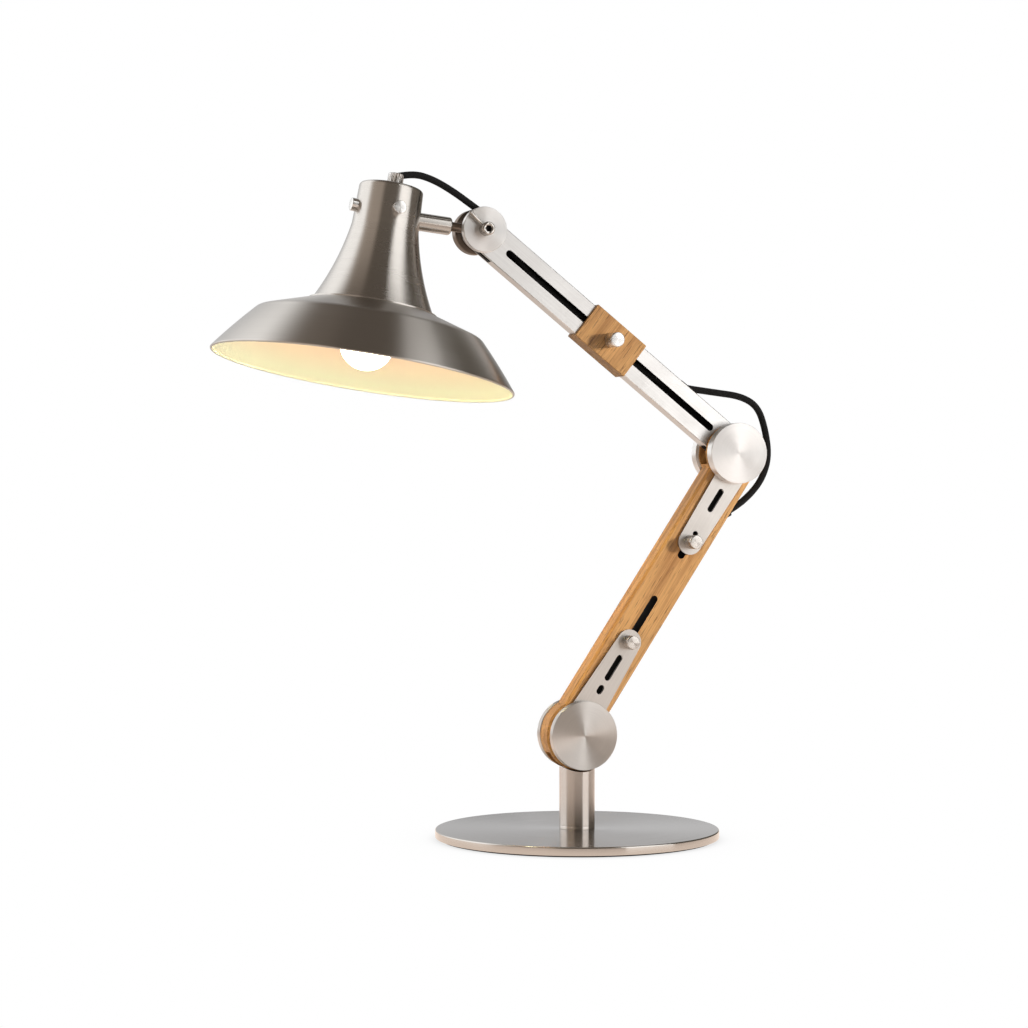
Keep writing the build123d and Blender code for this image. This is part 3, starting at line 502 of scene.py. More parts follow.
def maths(tree, operation, first, second=0.0):
    """One sum in a material."""
    made = tree.nodes.new("ShaderNodeMath")
    made.operation = operation
    feed(tree, made.inputs[0], first)
    feed(tree, made.inputs[1], second)
    return made.outputs[0]


def spread(tree, value, low, high, from_low=0.0, from_high=1.0, smooth=False):
    """Maps a value from one range to another, and keeps it there."""
    settings = {"interpolation_type": "SMOOTHSTEP" if smooth else "LINEAR"}
    made = add(tree, "ShaderNodeMapRange", settings, Value=value, From_Min=from_low, From_Max=from_high,
               To_Min=low, To_Max=high)
    return made.outputs["Result"]


def blend_colour(tree, amount, first, second):
    """Mixes two colours."""
    made = tree.nodes.new("ShaderNodeMix")
    made.data_type = "RGBA"
    feed(tree, made.inputs["Factor"], amount)
    feed(tree, made.inputs["A"], first)
    feed(tree, made.inputs["B"], second)
    return made.outputs["Result"]


def mix_shaders(tree, amount, first, second):
    """Mixes the outputs of two shaders."""
    made = tree.nodes.new("ShaderNodeMixShader")
    for socket, source in zip(made.inputs, (amount, first, second)):
        tree.links.new(source, socket)
    return made.outputs["Shader"]


def coat(tree, shader, tint, gloss):
    """Sets or links a shader's colour and roughness."""
    feed(tree, shader.inputs["Base Color"], tint)
    feed(tree, shader.inputs["Roughness"], gloss)


def emboss(tree, shader, height, strength, distance):
    """Raises a shader's surface by a pattern."""
    bump = add(tree, "ShaderNodeBump", Strength=strength, Distance=distance, Height=height)
    tree.links.new(bump.outputs["Normal"], shader.inputs["Normal"])


def rgba(tint, level=1.0):
    """A colour with its alpha, made lighter or darker."""
    return (tint[0] * level, tint[1] * level, tint[2] * level, 1.0)


def noise(tree, vector, detail=3.0):
    """Noise over a vector."""
    return add(tree, "ShaderNodeTexNoise", Vector=vector, Scale=1.0, Detail=detail).outputs["Fac"]


def even(scale):
    """The same scale along all three axes."""
    return (scale, scale, scale)


def object_spot(tree, place, stretch):
    """Object coordinates turned into a piece's own frame and stretched along its axes."""
    coords = add(tree, "ShaderNodeTexCoord").outputs["Object"]
    turned = add(tree, "ShaderNodeMapping", {"vector_type": "TEXTURE"}, Vector=coords,
                 Location=place.to_translation(), Rotation=place.to_euler()).outputs["Vector"]
    return add(tree, "ShaderNodeMapping", Vector=turned, Scale=stretch).outputs["Vector"]


def gradient(tree, value, stops):
    """A colour ramp through stops of place and colour."""
    made = add(tree, "ShaderNodeValToRGB", Fac=value)
    ramp = made.color_ramp.elements
    while len(ramp) < len(stops):
        ramp.new(0.5)
    for mark, (place, tint) in zip(ramp, stops):
        mark.position = place
        mark.color = rgba(tint)
    return made.outputs["Color"]


def within(tree, value, half, soft):
    """One where a value is nearer to nought than a half width, and nought outside it."""
    return spread(tree, maths(tree, "ABSOLUTE", value), 1.0, 0.0, half - soft, half + soft)


def own_axes(tree, place):
    """Object coordinates in a piece's own frame, one socket for each axis."""
    made = add(tree, "ShaderNodeSeparateXYZ", Vector=object_spot(tree, place, even(1.0)))
    return made.outputs["X"], made.outputs["Y"], made.outputs["Z"]


def turned_steel(name, tint, gloss, brushing):
    """Steel brushed round its axis: fine rings in its colour and bump, and broad ones in its roughness."""
    material, tree, shader = blank(name)
    chart = add(tree, "ShaderNodeUVMap", {"uv_map": "Turning"}).outputs["UV"]
    parts = add(tree, "ShaderNodeSeparateXYZ", Vector=chart)
    angle = maths(tree, "MULTIPLY", parts.outputs["X"], 2 * math.pi)
    across = maths(tree, "MULTIPLY", maths(tree, "COSINE", angle), RING_ROUND)
    around = maths(tree, "MULTIPLY", maths(tree, "SINE", angle), RING_ROUND)
    rings = add(tree, "ShaderNodeCombineXYZ", X=across, Y=around,
                Z=maths(tree, "MULTIPLY", parts.outputs["Y"], RINGS)).outputs["Vector"]
    bands = add(tree, "ShaderNodeCombineXYZ", X=across, Y=around,
                Z=maths(tree, "MULTIPLY", parts.outputs["Y"], BANDS)).outputs["Vector"]
    fine = noise(tree, rings, 2.0)
    broad = noise(tree, bands)
    shade = blend_colour(tree, spread(tree, fine, 0.0, 1.0, *NOISE_RANGE), rgba(tint, 0.97), rgba(tint, 1.02))
    coat(tree, shader, shade, spread(tree, broad, *gloss, *NOISE_RANGE))
    shader.inputs["Metallic"].default_value = 1.0
    shader.inputs["Anisotropic"].default_value = brushing
    shader.inputs["Anisotropic Rotation"].default_value = 0.25
    tangent = add(tree, "ShaderNodeTangent", {"direction_type": "UV_MAP", "uv_map": "Turning"})
    tree.links.new(tangent.outputs["Tangent"], shader.inputs["Tangent"])
    emboss(tree, shader, fine, strength=0.006, distance=0.0002)
    return material


def brushed_steel(name, tint, gloss, place, stretch, hollow=None):
    """Steel with its grain along its own axes, and shade painted near black inside a hollow of half depth and half
    height.
    """
    material, tree, shader = blank(name)
    fine = noise(tree, object_spot(tree, place, stretch))
    broad = noise(tree, object_spot(tree, place, even(30.0)))
    shade = blend_colour(tree, spread(tree, fine, 0.0, 1.0, *NOISE_RANGE), rgba(tint, 0.94), rgba(tint, 1.04))
    rough = spread(tree, broad, *gloss, *NOISE_RANGE)
    metal = 1.0
    # Painted shade: inside the hollow the steel turns near black, rough and not metallic
    if hollow:
        deep, high = own_axes(tree, place)[1:]
        inside = maths(tree, "MULTIPLY", within(tree, deep, hollow[0], HOLLOW_EDGE),
                       within(tree, high, hollow[1], HOLLOW_EDGE))
        shade = blend_colour(tree, inside, shade, rgba(finish_of().painted_hollow_shade))
        rough = maths(tree, "MAXIMUM", rough, inside)
        metal = maths(tree, "SUBTRACT", 1.0, inside)
    coat(tree, shader, shade, rough)
    feed(tree, shader.inputs["Metallic"], metal)
    emboss(tree, shader, fine, strength=0.05, distance=0.0002)
    return material


def plain_steel(name, place):
    """Steel of the fittings, with an even grain."""
    return brushed_steel(name, finish_of().steel, GLOSS["plain"], place, even(700.0))


def oiled_oak(name, place, slots=()):
    """Oak with its grain along its own height: bands, fibres and open pores, with shade painted dark in its slots.
    """
    finish = finish_of()
    material, tree, shader = blank(name)

    def stretched(across, down):
        return object_spot(tree, place, (across, across, down))

    dark = rgba(finish.oak_dark)
    bands = noise(tree, stretched(110.0, 7.0), 5.0)
    fibres = noise(tree, stretched(950.0, 24.0))
    pores = noise(tree, stretched(1100.0, 65.0), 2.0)
    drift = noise(tree, stretched(22.0, 5.0), 2.0)
    grain = blend_colour(tree, spread(tree, bands, 0.0, 1.0, 0.36, 0.58), dark, rgba(finish.oak_pale))
    grain = blend_colour(tree, spread(tree, drift, 0.0, 0.40, 0.35, 0.7), grain, rgba(finish.oak_pale, 1.06))
    grain = blend_colour(tree, spread(tree, fibres, 0.0, 0.55, 0.46, 0.70), grain, dark)
    pit = spread(tree, pores, 0.0, 1.0, 0.60, 0.68)
    grain = blend_colour(tree, maths(tree, "MULTIPLY", pit, 0.75), grain, rgba(finish.oak_dark, 0.45))
    rough = spread(tree, fibres, 0.42, 0.56, *NOISE_RANGE)
    across, deep, high = own_axes(tree, place)
    # Painted shade deep in each slot
    for near, far in slots:
        side = within(tree, across, SLOT_HALF, SLOT_EDGE)
        run = within(tree, maths(tree, "SUBTRACT", high, (near + far) / 2), (far - near) / 2, SLOT_EDGE)
        inner = within(tree, deep, SLOT_DEPTH, 2 * SLOT_EDGE)
        slot_shade = maths(tree, "MULTIPLY", maths(tree, "MULTIPLY", side, run), inner)
        grain = blend_colour(tree, slot_shade, grain, rgba(finish.painted_slot_shade))
        rough = maths(tree, "MAXIMUM", rough, slot_shade)
    coat(tree, shader, grain, rough)
    height = maths(tree, "SUBTRACT", maths(tree, "MULTIPLY", fibres, 0.4), pit)
    emboss(tree, shader, height, strength=0.3, distance=0.0003)
    return material


def moulded(name, tint, rough, grain=900.0):
    """Moulded rubber, fibre or ceramic with a faint skin."""
    material, tree, shader = blank(name)
    skin = noise(tree, object_spot(tree, Matrix.Identity(4), even(grain)))
    coat(tree, shader, blend_colour(tree, skin, rgba(tint, 0.85), rgba(tint, 1.15)),
         spread(tree, skin, rough - 0.06, rough + 0.06, *NOISE_RANGE))
    emboss(tree, shader, skin, strength=0.12, distance=0.0002)
    return material


def shade_enamel(name):
    """Warm white stove enamel inside the shade, a little uneven, with the bulb's glow painted on as a deeper
    colour near the bulb.
    """
    finish = finish_of()
    material, tree, shader = blank(name)
    warm = rgba(finish.painted_glow_enamel)
    drift = noise(tree, object_spot(tree, SHADE_PLACE, even(28.0)))
    # Painted glow: the enamel turns warmer with height, towards the bulb, for the bulb's light on it
    depth = spread(tree, own_axes(tree, SHADE_PLACE)[2], 0.0, 1.0, *PAINTED_GLOW_FADE)
    tint = blend_colour(tree, depth, rgba(finish.enamel), warm)
    tint = blend_colour(tree, maths(tree, "MULTIPLY", drift, 0.06), tint, warm)
    coat(tree, shader, tint, spread(tree, drift, 0.32, 0.42, *NOISE_RANGE))
    return material


def lit_glass(name):
    """Opal glass of the lit bulb."""
    finish = finish_of()
    material, tree, shader = blank(name)
    drift = noise(tree, object_spot(tree, SHADE_PLACE, even(90.0)), 2.0)
    coat(tree, shader, rgba(finish.opal), 0.25)
    feed(tree, shader.inputs["Emission Color"],
         blend_colour(tree, drift, rgba(finish.glow, 0.97), rgba(finish.glow)))
    shader.inputs["Emission Strength"].default_value = finish.glow_power
    return material


def braided_cloth(name, run):
    """Braided cover of the flex, on the map of its tube: crossing strands at a steady pitch."""
    material, tree, shader = blank(name)
    chart = add(tree, "ShaderNodeUVMap", {"uv_map": "UVMap"}).outputs["UV"]
    parts = add(tree, "ShaderNodeSeparateXYZ", Vector=chart)
    around = maths(tree, "MULTIPLY", parts.outputs["X"], 2 * math.pi * BRAID_STRANDS)
    down = maths(tree, "MULTIPLY", parts.outputs["Y"], 2 * math.pi * run / BRAID_PITCH)
    one = maths(tree, "SINE", maths(tree, "ADD", around, down))
    other = maths(tree, "SINE", maths(tree, "SUBTRACT", around, down))
    strands = spread(tree, maths(tree, "MAXIMUM", one, other), 0.0, 1.0, -0.4, 1.0)
    tint = finish_of().flex_cloth
    coat(tree, shader, blend_colour(tree, strands, rgba(tint, 0.62), rgba(tint, 1.08)), 0.7)
    shader.inputs["Specular IOR Level"].default_value = 0.25
    shader.inputs["Sheen Weight"].default_value = 0.04
    emboss(tree, shader, strands, strength=0.5, distance=0.0003)
    return material


# Operators, one for each group of pieces
class LAMP_OT_stand(bpy.types.Operator):
    """Turns the foot and the post, and finishes the pieces that hold them"""
    bl_idname = "lamp.stand"
    bl_label = "Stand"

    def saddle(self, post):
        """Cuts the post's top to the round of the shoulder."""
        bpy.ops.mesh.primitive_cylinder_add(vertices=SADDLE_SIDES, radius=sizes().saddle_radius,
                                            depth=SADDLE_BAR, location=SHOULDER,
                                            rotation=(math.radians(90), 0, 0))
        round_bar = bpy.context.active_object
        select_only(post)
        bpy.ops.object.modifier_add(type="BOOLEAN")
        cut = post.modifiers[-1]
        cut.operation = "DIFFERENCE"
        cut.object = round_bar
        bpy.ops.object.modifier_apply(modifier=cut.name)
        select_only(round_bar)
        bpy.ops.object.delete()
        select_only(post)
        bpy.ops.object.shade_smooth_by_angle(angle=TURNED_CREASE)

    def execute(self, context):
        size = sizes()
        finish = finish_of()
        low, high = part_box("base_plate")
        radius = high.x
        recess_top = low.z + RECESS_DEPTH
        profile = eased([(BOLT_BORE, high.z), (radius, high.z, size.foot_edge),
                         (radius, low.z, size.foot_edge / 2), (BOLT_RECESS, low.z), (BOLT_RECESS, recess_top),
                         (BOLT_BORE, recess_top), (BOLT_BORE, high.z)])
        steel = turned_steel("Foot_steel", finish.steel, GLOSS["foot"], finish.brushing)
        dress(turn_on_lathe("Foot_plate", profile), "base_plate", "satin_steel", steel)
        low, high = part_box("post_tube")
        outer = high.x
        inner = outer - POST_WALL
        edge = size.disc_edge / 2
        foot = low.z
        top = high.z + SADDLE_RISE
        profile = eased([(inner, top), (outer, top), (outer, foot, edge), (inner, foot), (inner, top)])
        steel = turned_steel("Post_steel", finish.post_steel, GLOSS["post"], finish.brushing)
        post = turn_on_lathe("Post_tube", profile)
        self.saddle(post)
        dress(post, "post_tube", "satin_steel", steel)
        low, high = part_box("post_foot")
        spigot = inner - SPIGOT_GAP
        profile = eased([(BOLT_BORE, high.z), (spigot, high.z), (spigot, foot), (outer, foot, edge),
                         (outer, low.z, edge), (BOLT_BORE, low.z), (BOLT_BORE, high.z)])
        dress(turn_on_lathe("Post_foot", profile), "post_foot", "satin_steel", steel)
        plain = plain_steel("Plain_steel", Matrix.Identity(4))
        dressed_copy("shoulder_tongue", "plain_steel", plain)
        paint(plain, "base_bolt")
        paint(moulded("Foot_rubber", finish.rubber, 0.7), "base_pad", "mains_gland")
        return {"FINISHED"}


def joint_disc(node, place, steel):
    """A flat joint disc with a bevelled rim, on the front or rear of its joint."""
    low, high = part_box(node)
    radius = (high.x - low.x) / 2
    half = (high.y - low.y) / 2
    edge = sizes().disc_edge
    profile = eased([(0, half), (radius, half, edge), (radius, -half, edge / 2), (0, -half)])
    disc = turn_on_lathe(node.capitalize(), profile)
    dress(set_down(disc, Matrix.Translation((low + high) / 2) @ place), node, "satin_steel", steel)


class LAMP_OT_lower_arm(bpy.types.Operator):
    """Finishes the oak arm, its bracket plates and its joint discs"""
    bl_idname = "lamp.lower_arm"
    bl_label = "Lower arm"

    def execute(self, context):
        finish = finish_of()
        paint(oiled_oak("Oak_arm_wood", OAK_PLACE, OAK_SLOTS), "oak_arm")
        # The discs of both joints are one steel; their two tints are painted shade and painted light
        for joint, tint, brushing in (("shoulder", finish.shaded_disc_steel, SHOULDER_BRUSHING),
                                      ("elbow", finish.lit_disc_steel, ELBOW_BRUSHING)):
            steel = turned_steel(joint.title() + "_shaded_disc_steel", tint, GLOSS["disc"], brushing)
            joint_disc(joint + "_disc_front", FACE_FRONT, steel)
            joint_disc(joint + "_disc_rear", FACE_REAR, steel)
        plate = brushed_steel("Bracket_steel", finish.plate_steel, GLOSS["flat"], OAK_PLACE,
                              (BRUSH_ACROSS, BRUSH_ACROSS, PLATE_ALONG))
        paint(plate, "shoulder_bracket_front", "shoulder_bracket_rear", "elbow_bracket_front",
              "elbow_bracket_rear")
        plain = brushed_steel("Fastener_steel", finish.steel, GLOSS["fastener"], Matrix.Identity(4),
                              even(800.0))
        dressed_copy("clamp_cap_nuts", "polished_steel", plain)
        paint(plain, "shoulder_bolt", "elbow_bolt")
        paint(moulded("Washer_fibre", finish.fibre, 0.65), "shoulder_washers", "elbow_washers")
        paint(moulded("Bush_rubber", finish.rubber, 0.6), "arm_bush")
        return {"FINISHED"}


class LAMP_OT_upper_arm(bpy.types.Operator):
    """Finishes the slotted steel arm and its oak clamp block"""
    bl_idname = "lamp.upper_arm"
    bl_label = "Upper arm"

    def execute(self, context):
        finish = finish_of()
        steel = brushed_steel("Upper_arm_steel", finish.tube_steel, GLOSS["flat"], UPPER_PLACE,
                              (TUBE_ALONG, BRUSH_ACROSS, BRUSH_ACROSS), TUBE_HOLLOW)
        paint(steel, "upper_arm_tube")
        paint(oiled_oak("Oak_block_wood", UPPER_PLACE), "oak_block")
        paint(moulded("Grommet_rubber", finish.rubber, 0.6), "tube_grommet")
        paint(plain_steel("Inner_steel", Matrix.Identity(4)), "elbow_bush", "clamp_nut")
        return {"FINISHED"}


def thumb_knob(node, head_length, steel):
    """A plain turned thumb knob on its stud, its flat end to the front."""
    size = sizes()
    low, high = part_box(node)
    radius = (high.x - low.x) / 2
    front, back = -low.y, -low.y - head_length
    edge = size.knob_edge
    profile = eased([(0, front), (radius, front, edge), (radius, back, edge / 2), (size.stud, back),
                     (size.stud, -high.y), (0, -high.y)])
    place = Matrix.Translation(((low.x + high.x) / 2, 0, (low.z + high.z) / 2)) @ FACE_FRONT
    dress(set_down(turn_on_lathe(node.capitalize(), profile), place), node, "polished_steel", steel)


class LAMP_OT_knobs(bpy.types.Operator):
    """Turns the three thumb knobs"""
    bl_idname = "lamp.knobs"
    bl_label = "Thumb knobs"

    def execute(self, context):
        size = sizes()
        finish = finish_of()
        # Painted light and shade: the three knobs are alike, but the bracket knobs take the darker plate colour
        # and the block knob the bright one, for how light falls on them
        steel = turned_steel("Knob_steel", finish.plate_steel, GLOSS["knob"], finish.brushing)
        bright = turned_steel("Block_knob_steel", finish.bright_steel, GLOSS["knob"], finish.brushing)
        thumb_knob("shoulder_knob", size.shoulder_knob, steel)
        thumb_knob("elbow_knob", size.elbow_knob, steel)
        thumb_knob("block_knob", size.block_knob, bright)
        return {"FINISHED"}


class LAMP_OT_head_joint(bpy.types.Operator):
    """Turns the head discs and finishes the tilt clamp and the hub"""
    bl_idname = "lamp.head_joint"
    bl_label = "Head joint"

    def execute(self, context):
        size = sizes()
        finish = finish_of()
        # Painted light on the front head disc, painted shade on the rear disc and the hub, all one steel
        bright = turned_steel("Head_shaded_disc_steel", finish.lit_disc_steel, GLOSS["disc"], ELBOW_BRUSHING)
        hinge_in_shade = turned_steel("Hinge_steel", finish.shaded_hinge_steel, GLOSS["hinge"], finish.brushing)
        for node, place, steel in (("head_disc_front", FACE_FRONT, bright),
                                   ("head_disc_rear", FACE_REAR, hinge_in_shade)):
            low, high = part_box(node)
            near = min(abs(low.y), abs(high.y))
            far = max(abs(low.y), abs(high.y))
            radius = (high.x - low.x) / 2
            step = near + size.boss_height
            profile = eased([(0, far), (radius, far, size.disc_edge), (radius, step, size.disc_edge),
                             (size.boss_radius, step), (size.boss_radius, near), (0, near)])
            spot = Matrix.Translation((HEAD.x, 0, HEAD.z)) @ place
            disc = set_down(turn_on_lathe(node.capitalize(), profile), spot)
            dress(disc, node, "satin_steel", steel)
        here = Matrix.Identity(4)
        polished = brushed_steel("Clamp_steel", finish.steel, GLOSS["screw"], here, even(500.0))
        socket = moulded("Socket_shade", finish.painted_hollow_shade, 0.6)
        screw = dressed_copy("tilt_clamp_screw", "polished_steel", polished, socket)
        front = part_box("tilt_clamp_screw")[0].y
        # Painted shade: the sunk faces of the socket take the near black material
        for face in screw.data.polygons:
            reach = math.hypot(face.center.x - HEAD.x, face.center.z - HEAD.z)
            sunk = face.center.y > front + SOCKET_LIP
            face.material_index = 1 if reach < size.socket_radius and sunk else 0
        dressed_copy("tilt_clamp_bar", "polished_steel", polished)
        # Painted shade on the hub
        dark = brushed_steel("Hub_steel", finish.shaded_hinge_steel, GLOSS["fitting"], here, even(500.0))
        dressed_copy("hinge_hub", "satin_steel", dark)
        return {"FINISHED"}


class LAMP_OT_shade(bpy.types.Operator):
    """Spins the shade and its neck, and fits the stem, the neck screws and the gland"""
    bl_idname = "lamp.shade"
    bl_label = "Shade"

    def inset(self, spot, before, after):
        """The point one wall inside a point of the dish's outer line, which runs up from the rim."""
        way = (Vector(after) - Vector(before)).normalized()
        return Vector(spot) + Vector((-way.y, way.x)) * sizes().shade_wall

    def dish(self, steel, enamel):
        """The dish, steel outside and enamel from the middle of its bead inwards."""
        size = sizes()
        wall = size.shade_wall
        bead = size.rim_bead
        skirt = (size.skirt_radius, size.skirt_height)
        roof = (size.roof_radius, size.roof_height)
        seat = (SEAT_BORE, size.seat_height)
        edge = (size.seat_radius, size.seat_height - SEAT_DROP)
        line = [Vector(seat), Vector((size.seat_radius, size.seat_height)), Vector(edge)]
        line += arc_by(roof, CORNER_MIDDLE, skirt)
        line += arc_by(skirt, SKIRT_MIDDLE, (size.rim_radius, bead))[1:-1]
        outside = len(line) + BEAD_STEEL
        middle = size.rim_radius - wall / 2
        for step in range(BEAD_POINTS):
            turn = math.radians(BEAD_START - BEAD_STEP * step)
            line.append(Vector((middle + bead * math.cos(turn), bead * math.sin(turn))))
        inner_skirt = self.inset(skirt, SKIRT_MIDDLE, CORNER_MIDDLE)
        line += arc_by((size.rim_radius - wall, bead), self.inset(SKIRT_MIDDLE, (size.rim_radius, 0), skirt),
                       inner_skirt)[1:]
        line += arc_by(inner_skirt, self.inset(CORNER_MIDDLE, skirt, roof),
                       self.inset(roof, CORNER_MIDDLE, edge))[1:]
        line += [self.inset(edge, roof, seat), Vector((SEAT_BORE, size.seat_height - wall)), line[0]]
        dish = turn_on_lathe("Shade_dish", line)
        reach = sum((there - here).length for here, there in zip(line[:outside], line[1:outside]))
        chart = dish.data.uv_layers["Turning"].data
        inside = []
        for face in dish.data.polygons:
            inside.append(sum(chart[loop].uv.y for loop in face.loop_indices) / face.loop_total > reach)
        dress(set_down(dish, SHADE_PLACE), "shade_dish", "satin_steel", steel, enamel)
        for face, enamelled in zip(dish.data.polygons, inside):
            face.material_index = 1 if enamelled else 0

    def neck(self, steel):
        """The neck, one curve from its seat to its straight top."""
        size = sizes()
        wall = size.shade_wall
        bend = (size.neck_bend, size.neck_bend_height)
        foot = (size.neck_foot, size.seat_height)
        line = eased([(0, size.neck_height), (size.neck_top, size.neck_height, NECK_ROUND), bend])[:-1]
        line += arc_by(bend, NECK_MIDDLE, foot, NECK_STEPS)
        back = [(radius - wall, height) for radius, height in (foot, NECK_MIDDLE, bend)]
        line += arc_by(*back, NECK_STEPS)
        ceiling = size.neck_height - wall
        line += [Vector((size.neck_top - wall, ceiling)), Vector((0, ceiling))]
        dress(set_down(turn_on_lathe("Shade_neck", line), SHADE_PLACE), "shade_neck", "satin_steel", steel)

    def stem(self, steel):
        """The stem between the neck and the head joint."""
        size = sizes()
        end = SHADE_REACH - size.stem_near
        profile = eased([(0, end), (size.stem_radius, end, STEM_ROUND), (size.stem_radius, STEM_START),
                         (0, STEM_START)])
        dress(set_down(turn_on_lathe("Stem", profile), STEM_FOOT @ FACE_RIGHT), "stem", "satin_steel", steel)

    def screws(self, steel):
        """Three round-headed screws, turned once and copied."""
        size = sizes()
        end = size.screw_reach
        profile = eased([(0, end), (size.screw_head, end, SCREW_ROUND), (size.screw_head, SCREW_SEAT),
                         (SCREW_SHANK, SCREW_SEAT), (SCREW_SHANK, SCREW_TIP), (0, SCREW_TIP)])
        first = turn_on_lathe("Neck_screw_1", profile)
        heads = [first]
        for count in (2, 3):
            select_only(first)
            bpy.ops.object.duplicate(linked=False)
            heads.append(bpy.context.active_object)
            heads[-1].name = "Neck_screw_%d" % count
        level = Matrix.Translation((0, 0, size.screw_height))
        for head, angle in zip(heads, SCREW_ANGLES):
            spot = SHADE_PLACE @ level @ Matrix.Rotation(math.radians(angle), 4, "Z") @ FACE_RIGHT
            dress(set_down(head, spot), "neck_screws", "polished_steel", steel)

    def execute(self, context):
        finish = finish_of()
        steel = turned_steel("Shade_steel", finish.steel, GLOSS["shade"], finish.brushing)
        self.dish(steel, shade_enamel("Shade_enamel"))
        self.neck(turned_steel("Neck_steel", finish.steel, GLOSS["neck"], finish.brushing))
        self.stem(turned_steel("Stem_steel", finish.steel, GLOSS["stem"], finish.brushing))
        self.screws(turned_steel("Screw_steel", finish.bright_steel, GLOSS["screw"], finish.brushing))
        polished = brushed_steel("Gland_steel", finish.bright_steel, GLOSS["fitting"], SHADE_PLACE,
                                 even(900.0))
        dressed_copy("gland", "polished_steel", polished)
        paint(plain_steel("Bracket_inner_steel", SHADE_PLACE), "stem_nut", "gland_nut", "holder_bracket")
        return {"FINISHED"}


class LAMP_OT_bulb(bpy.types.Operator):
    """Turns the bulb's glass and finishes its cap and holder"""
    bl_idname = "lamp.bulb"
    bl_label = "Bulb and holder"

    def execute(self, context):
        size = sizes()
        finish = finish_of()
        radius = size.bulb_radius
        centre = BULB_FOOT + radius
        lean = math.acos(size.bulb_neck / radius)
        globe = []
        for step in range(BULB_STEPS + 1):
            turn = -math.pi / 2 + (math.pi / 2 + lean) * step / BULB_STEPS
            globe.append(Vector((radius * math.cos(turn), centre + radius * math.sin(turn))))
        globe[0].x = 0.0
        globe += [Vector((size.bulb_neck, BULB_TOP)), Vector((0, BULB_TOP))]
        bulb = set_down(turn_on_lathe("Bulb_glass", globe), SHADE_PLACE)
        dress(bulb, "bulb_glass", "bulb", lit_glass("Lit_glass"))
        paint(brushed_steel("Cap_brass", finish.brass, GLOSS["brass"], SHADE_PLACE, even(600.0)), "bulb_cap")
        paint(moulded("Holder_ceramic", finish.ceramic, 0.35), "lamp_holder")
        return {"FINISHED"}


def laid_flex(name, route):
    """A flex tube on one smooth spline through a route, made a mesh, with the line that it follows."""
    curve = bpy.data.curves.new(name, "CURVE")
    curve.dimensions = "3D"
    curve.resolution_u = 14
    spline = curve.splines.new("NURBS")
    spline.points.add(len(route) - 1)
    for point, spot in zip(spline.points, route):
        point.co = (*spot, 1.0)
    spline.order_u = 3
    spline.use_endpoint_u = True
    piece = bpy.data.objects.new(name, curve)
    bpy.context.scene.collection.objects.link(piece)
    line = [vertex.co.copy() for vertex in bpy.data.meshes.new_from_object(piece).vertices]
    curve.bevel_depth = sizes().flex_radius
    curve.bevel_resolution = 7
    curve.use_fill_caps = True
    select_only(piece)
    bpy.ops.object.convert(target="MESH")
    piece = bpy.context.active_object
    bpy.ops.object.shade_smooth_by_angle(angle=FLEX_CREASE)
    run = sum((there - here).length for here, there in zip(line, line[1:]))
    piece.data.materials.append(braided_cloth(name + "_cloth", run))
    return piece, line, run


def on_upper_arm(along, across):
    """A point beside the upper arm, from its head end."""
    return UPPER_PLACE @ Vector((along, FLEX_SIDE, across))


def on_oak_arm(along, across):
    """A point beside the oak arm, from its shoulder end."""
    return OAK_PLACE @ Vector((across, 0, along))


class LAMP_OT_flex(bpy.types.Operator):
    """Lays the flex from the shade through the upper arm to the oak arm"""
    bl_idname = "lamp.flex"
    bl_label = "Flex"

    def execute(self, context):
        lead = (GLAND_LEAD * math.cos(GLAND_RISE), 0, GLAND_LEAD * math.sin(GLAND_RISE))
        gland = Vector((GLAND_OFFSET, 0, GLAND_LEVEL))
        out = [SHADE_PLACE @ gland, SHADE_PLACE @ (gland + Vector(lead))]
        first, second = (HEAD + Vector(step) for step in HEAD_LOOP)
        middle = (first + second) / 2
        near, near_line, near_run = laid_flex("Flex_head_near", out + [first, middle])
        arm = [on_upper_arm(*spot) for spot in HEAD_RUN]
        far, far_line, far_run = laid_flex("Flex_head_far", [middle, second] + arm)
        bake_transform(near)
        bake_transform(far)
        inner, inner_line, inner_run = laid_flex("Flex_arm", [on_upper_arm(*spot) for spot in TUBE_RUN])
        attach(inner, "upper_arm")
        start = [on_upper_arm(*spot) for spot in ELBOW_START]
        end = [on_oak_arm(*spot) for spot in ELBOW_END]
        bend = [ELBOW + Vector(step) for step in ELBOW_LOOP]
        loop, loop_line, loop_run = laid_flex("Flex_elbow", start + bend + end)
        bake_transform(loop)
        for piece, node in ((near, "flex_head"), (far, "flex_head"), (inner, "flex_arm"),
                            (loop, "flex_elbow")):
            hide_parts(node)
        paint(moulded("Flex_tail_cloth", finish_of().flex_cloth, 0.75, 2400.0), "flex_tail")
        return {"FINISHED"}


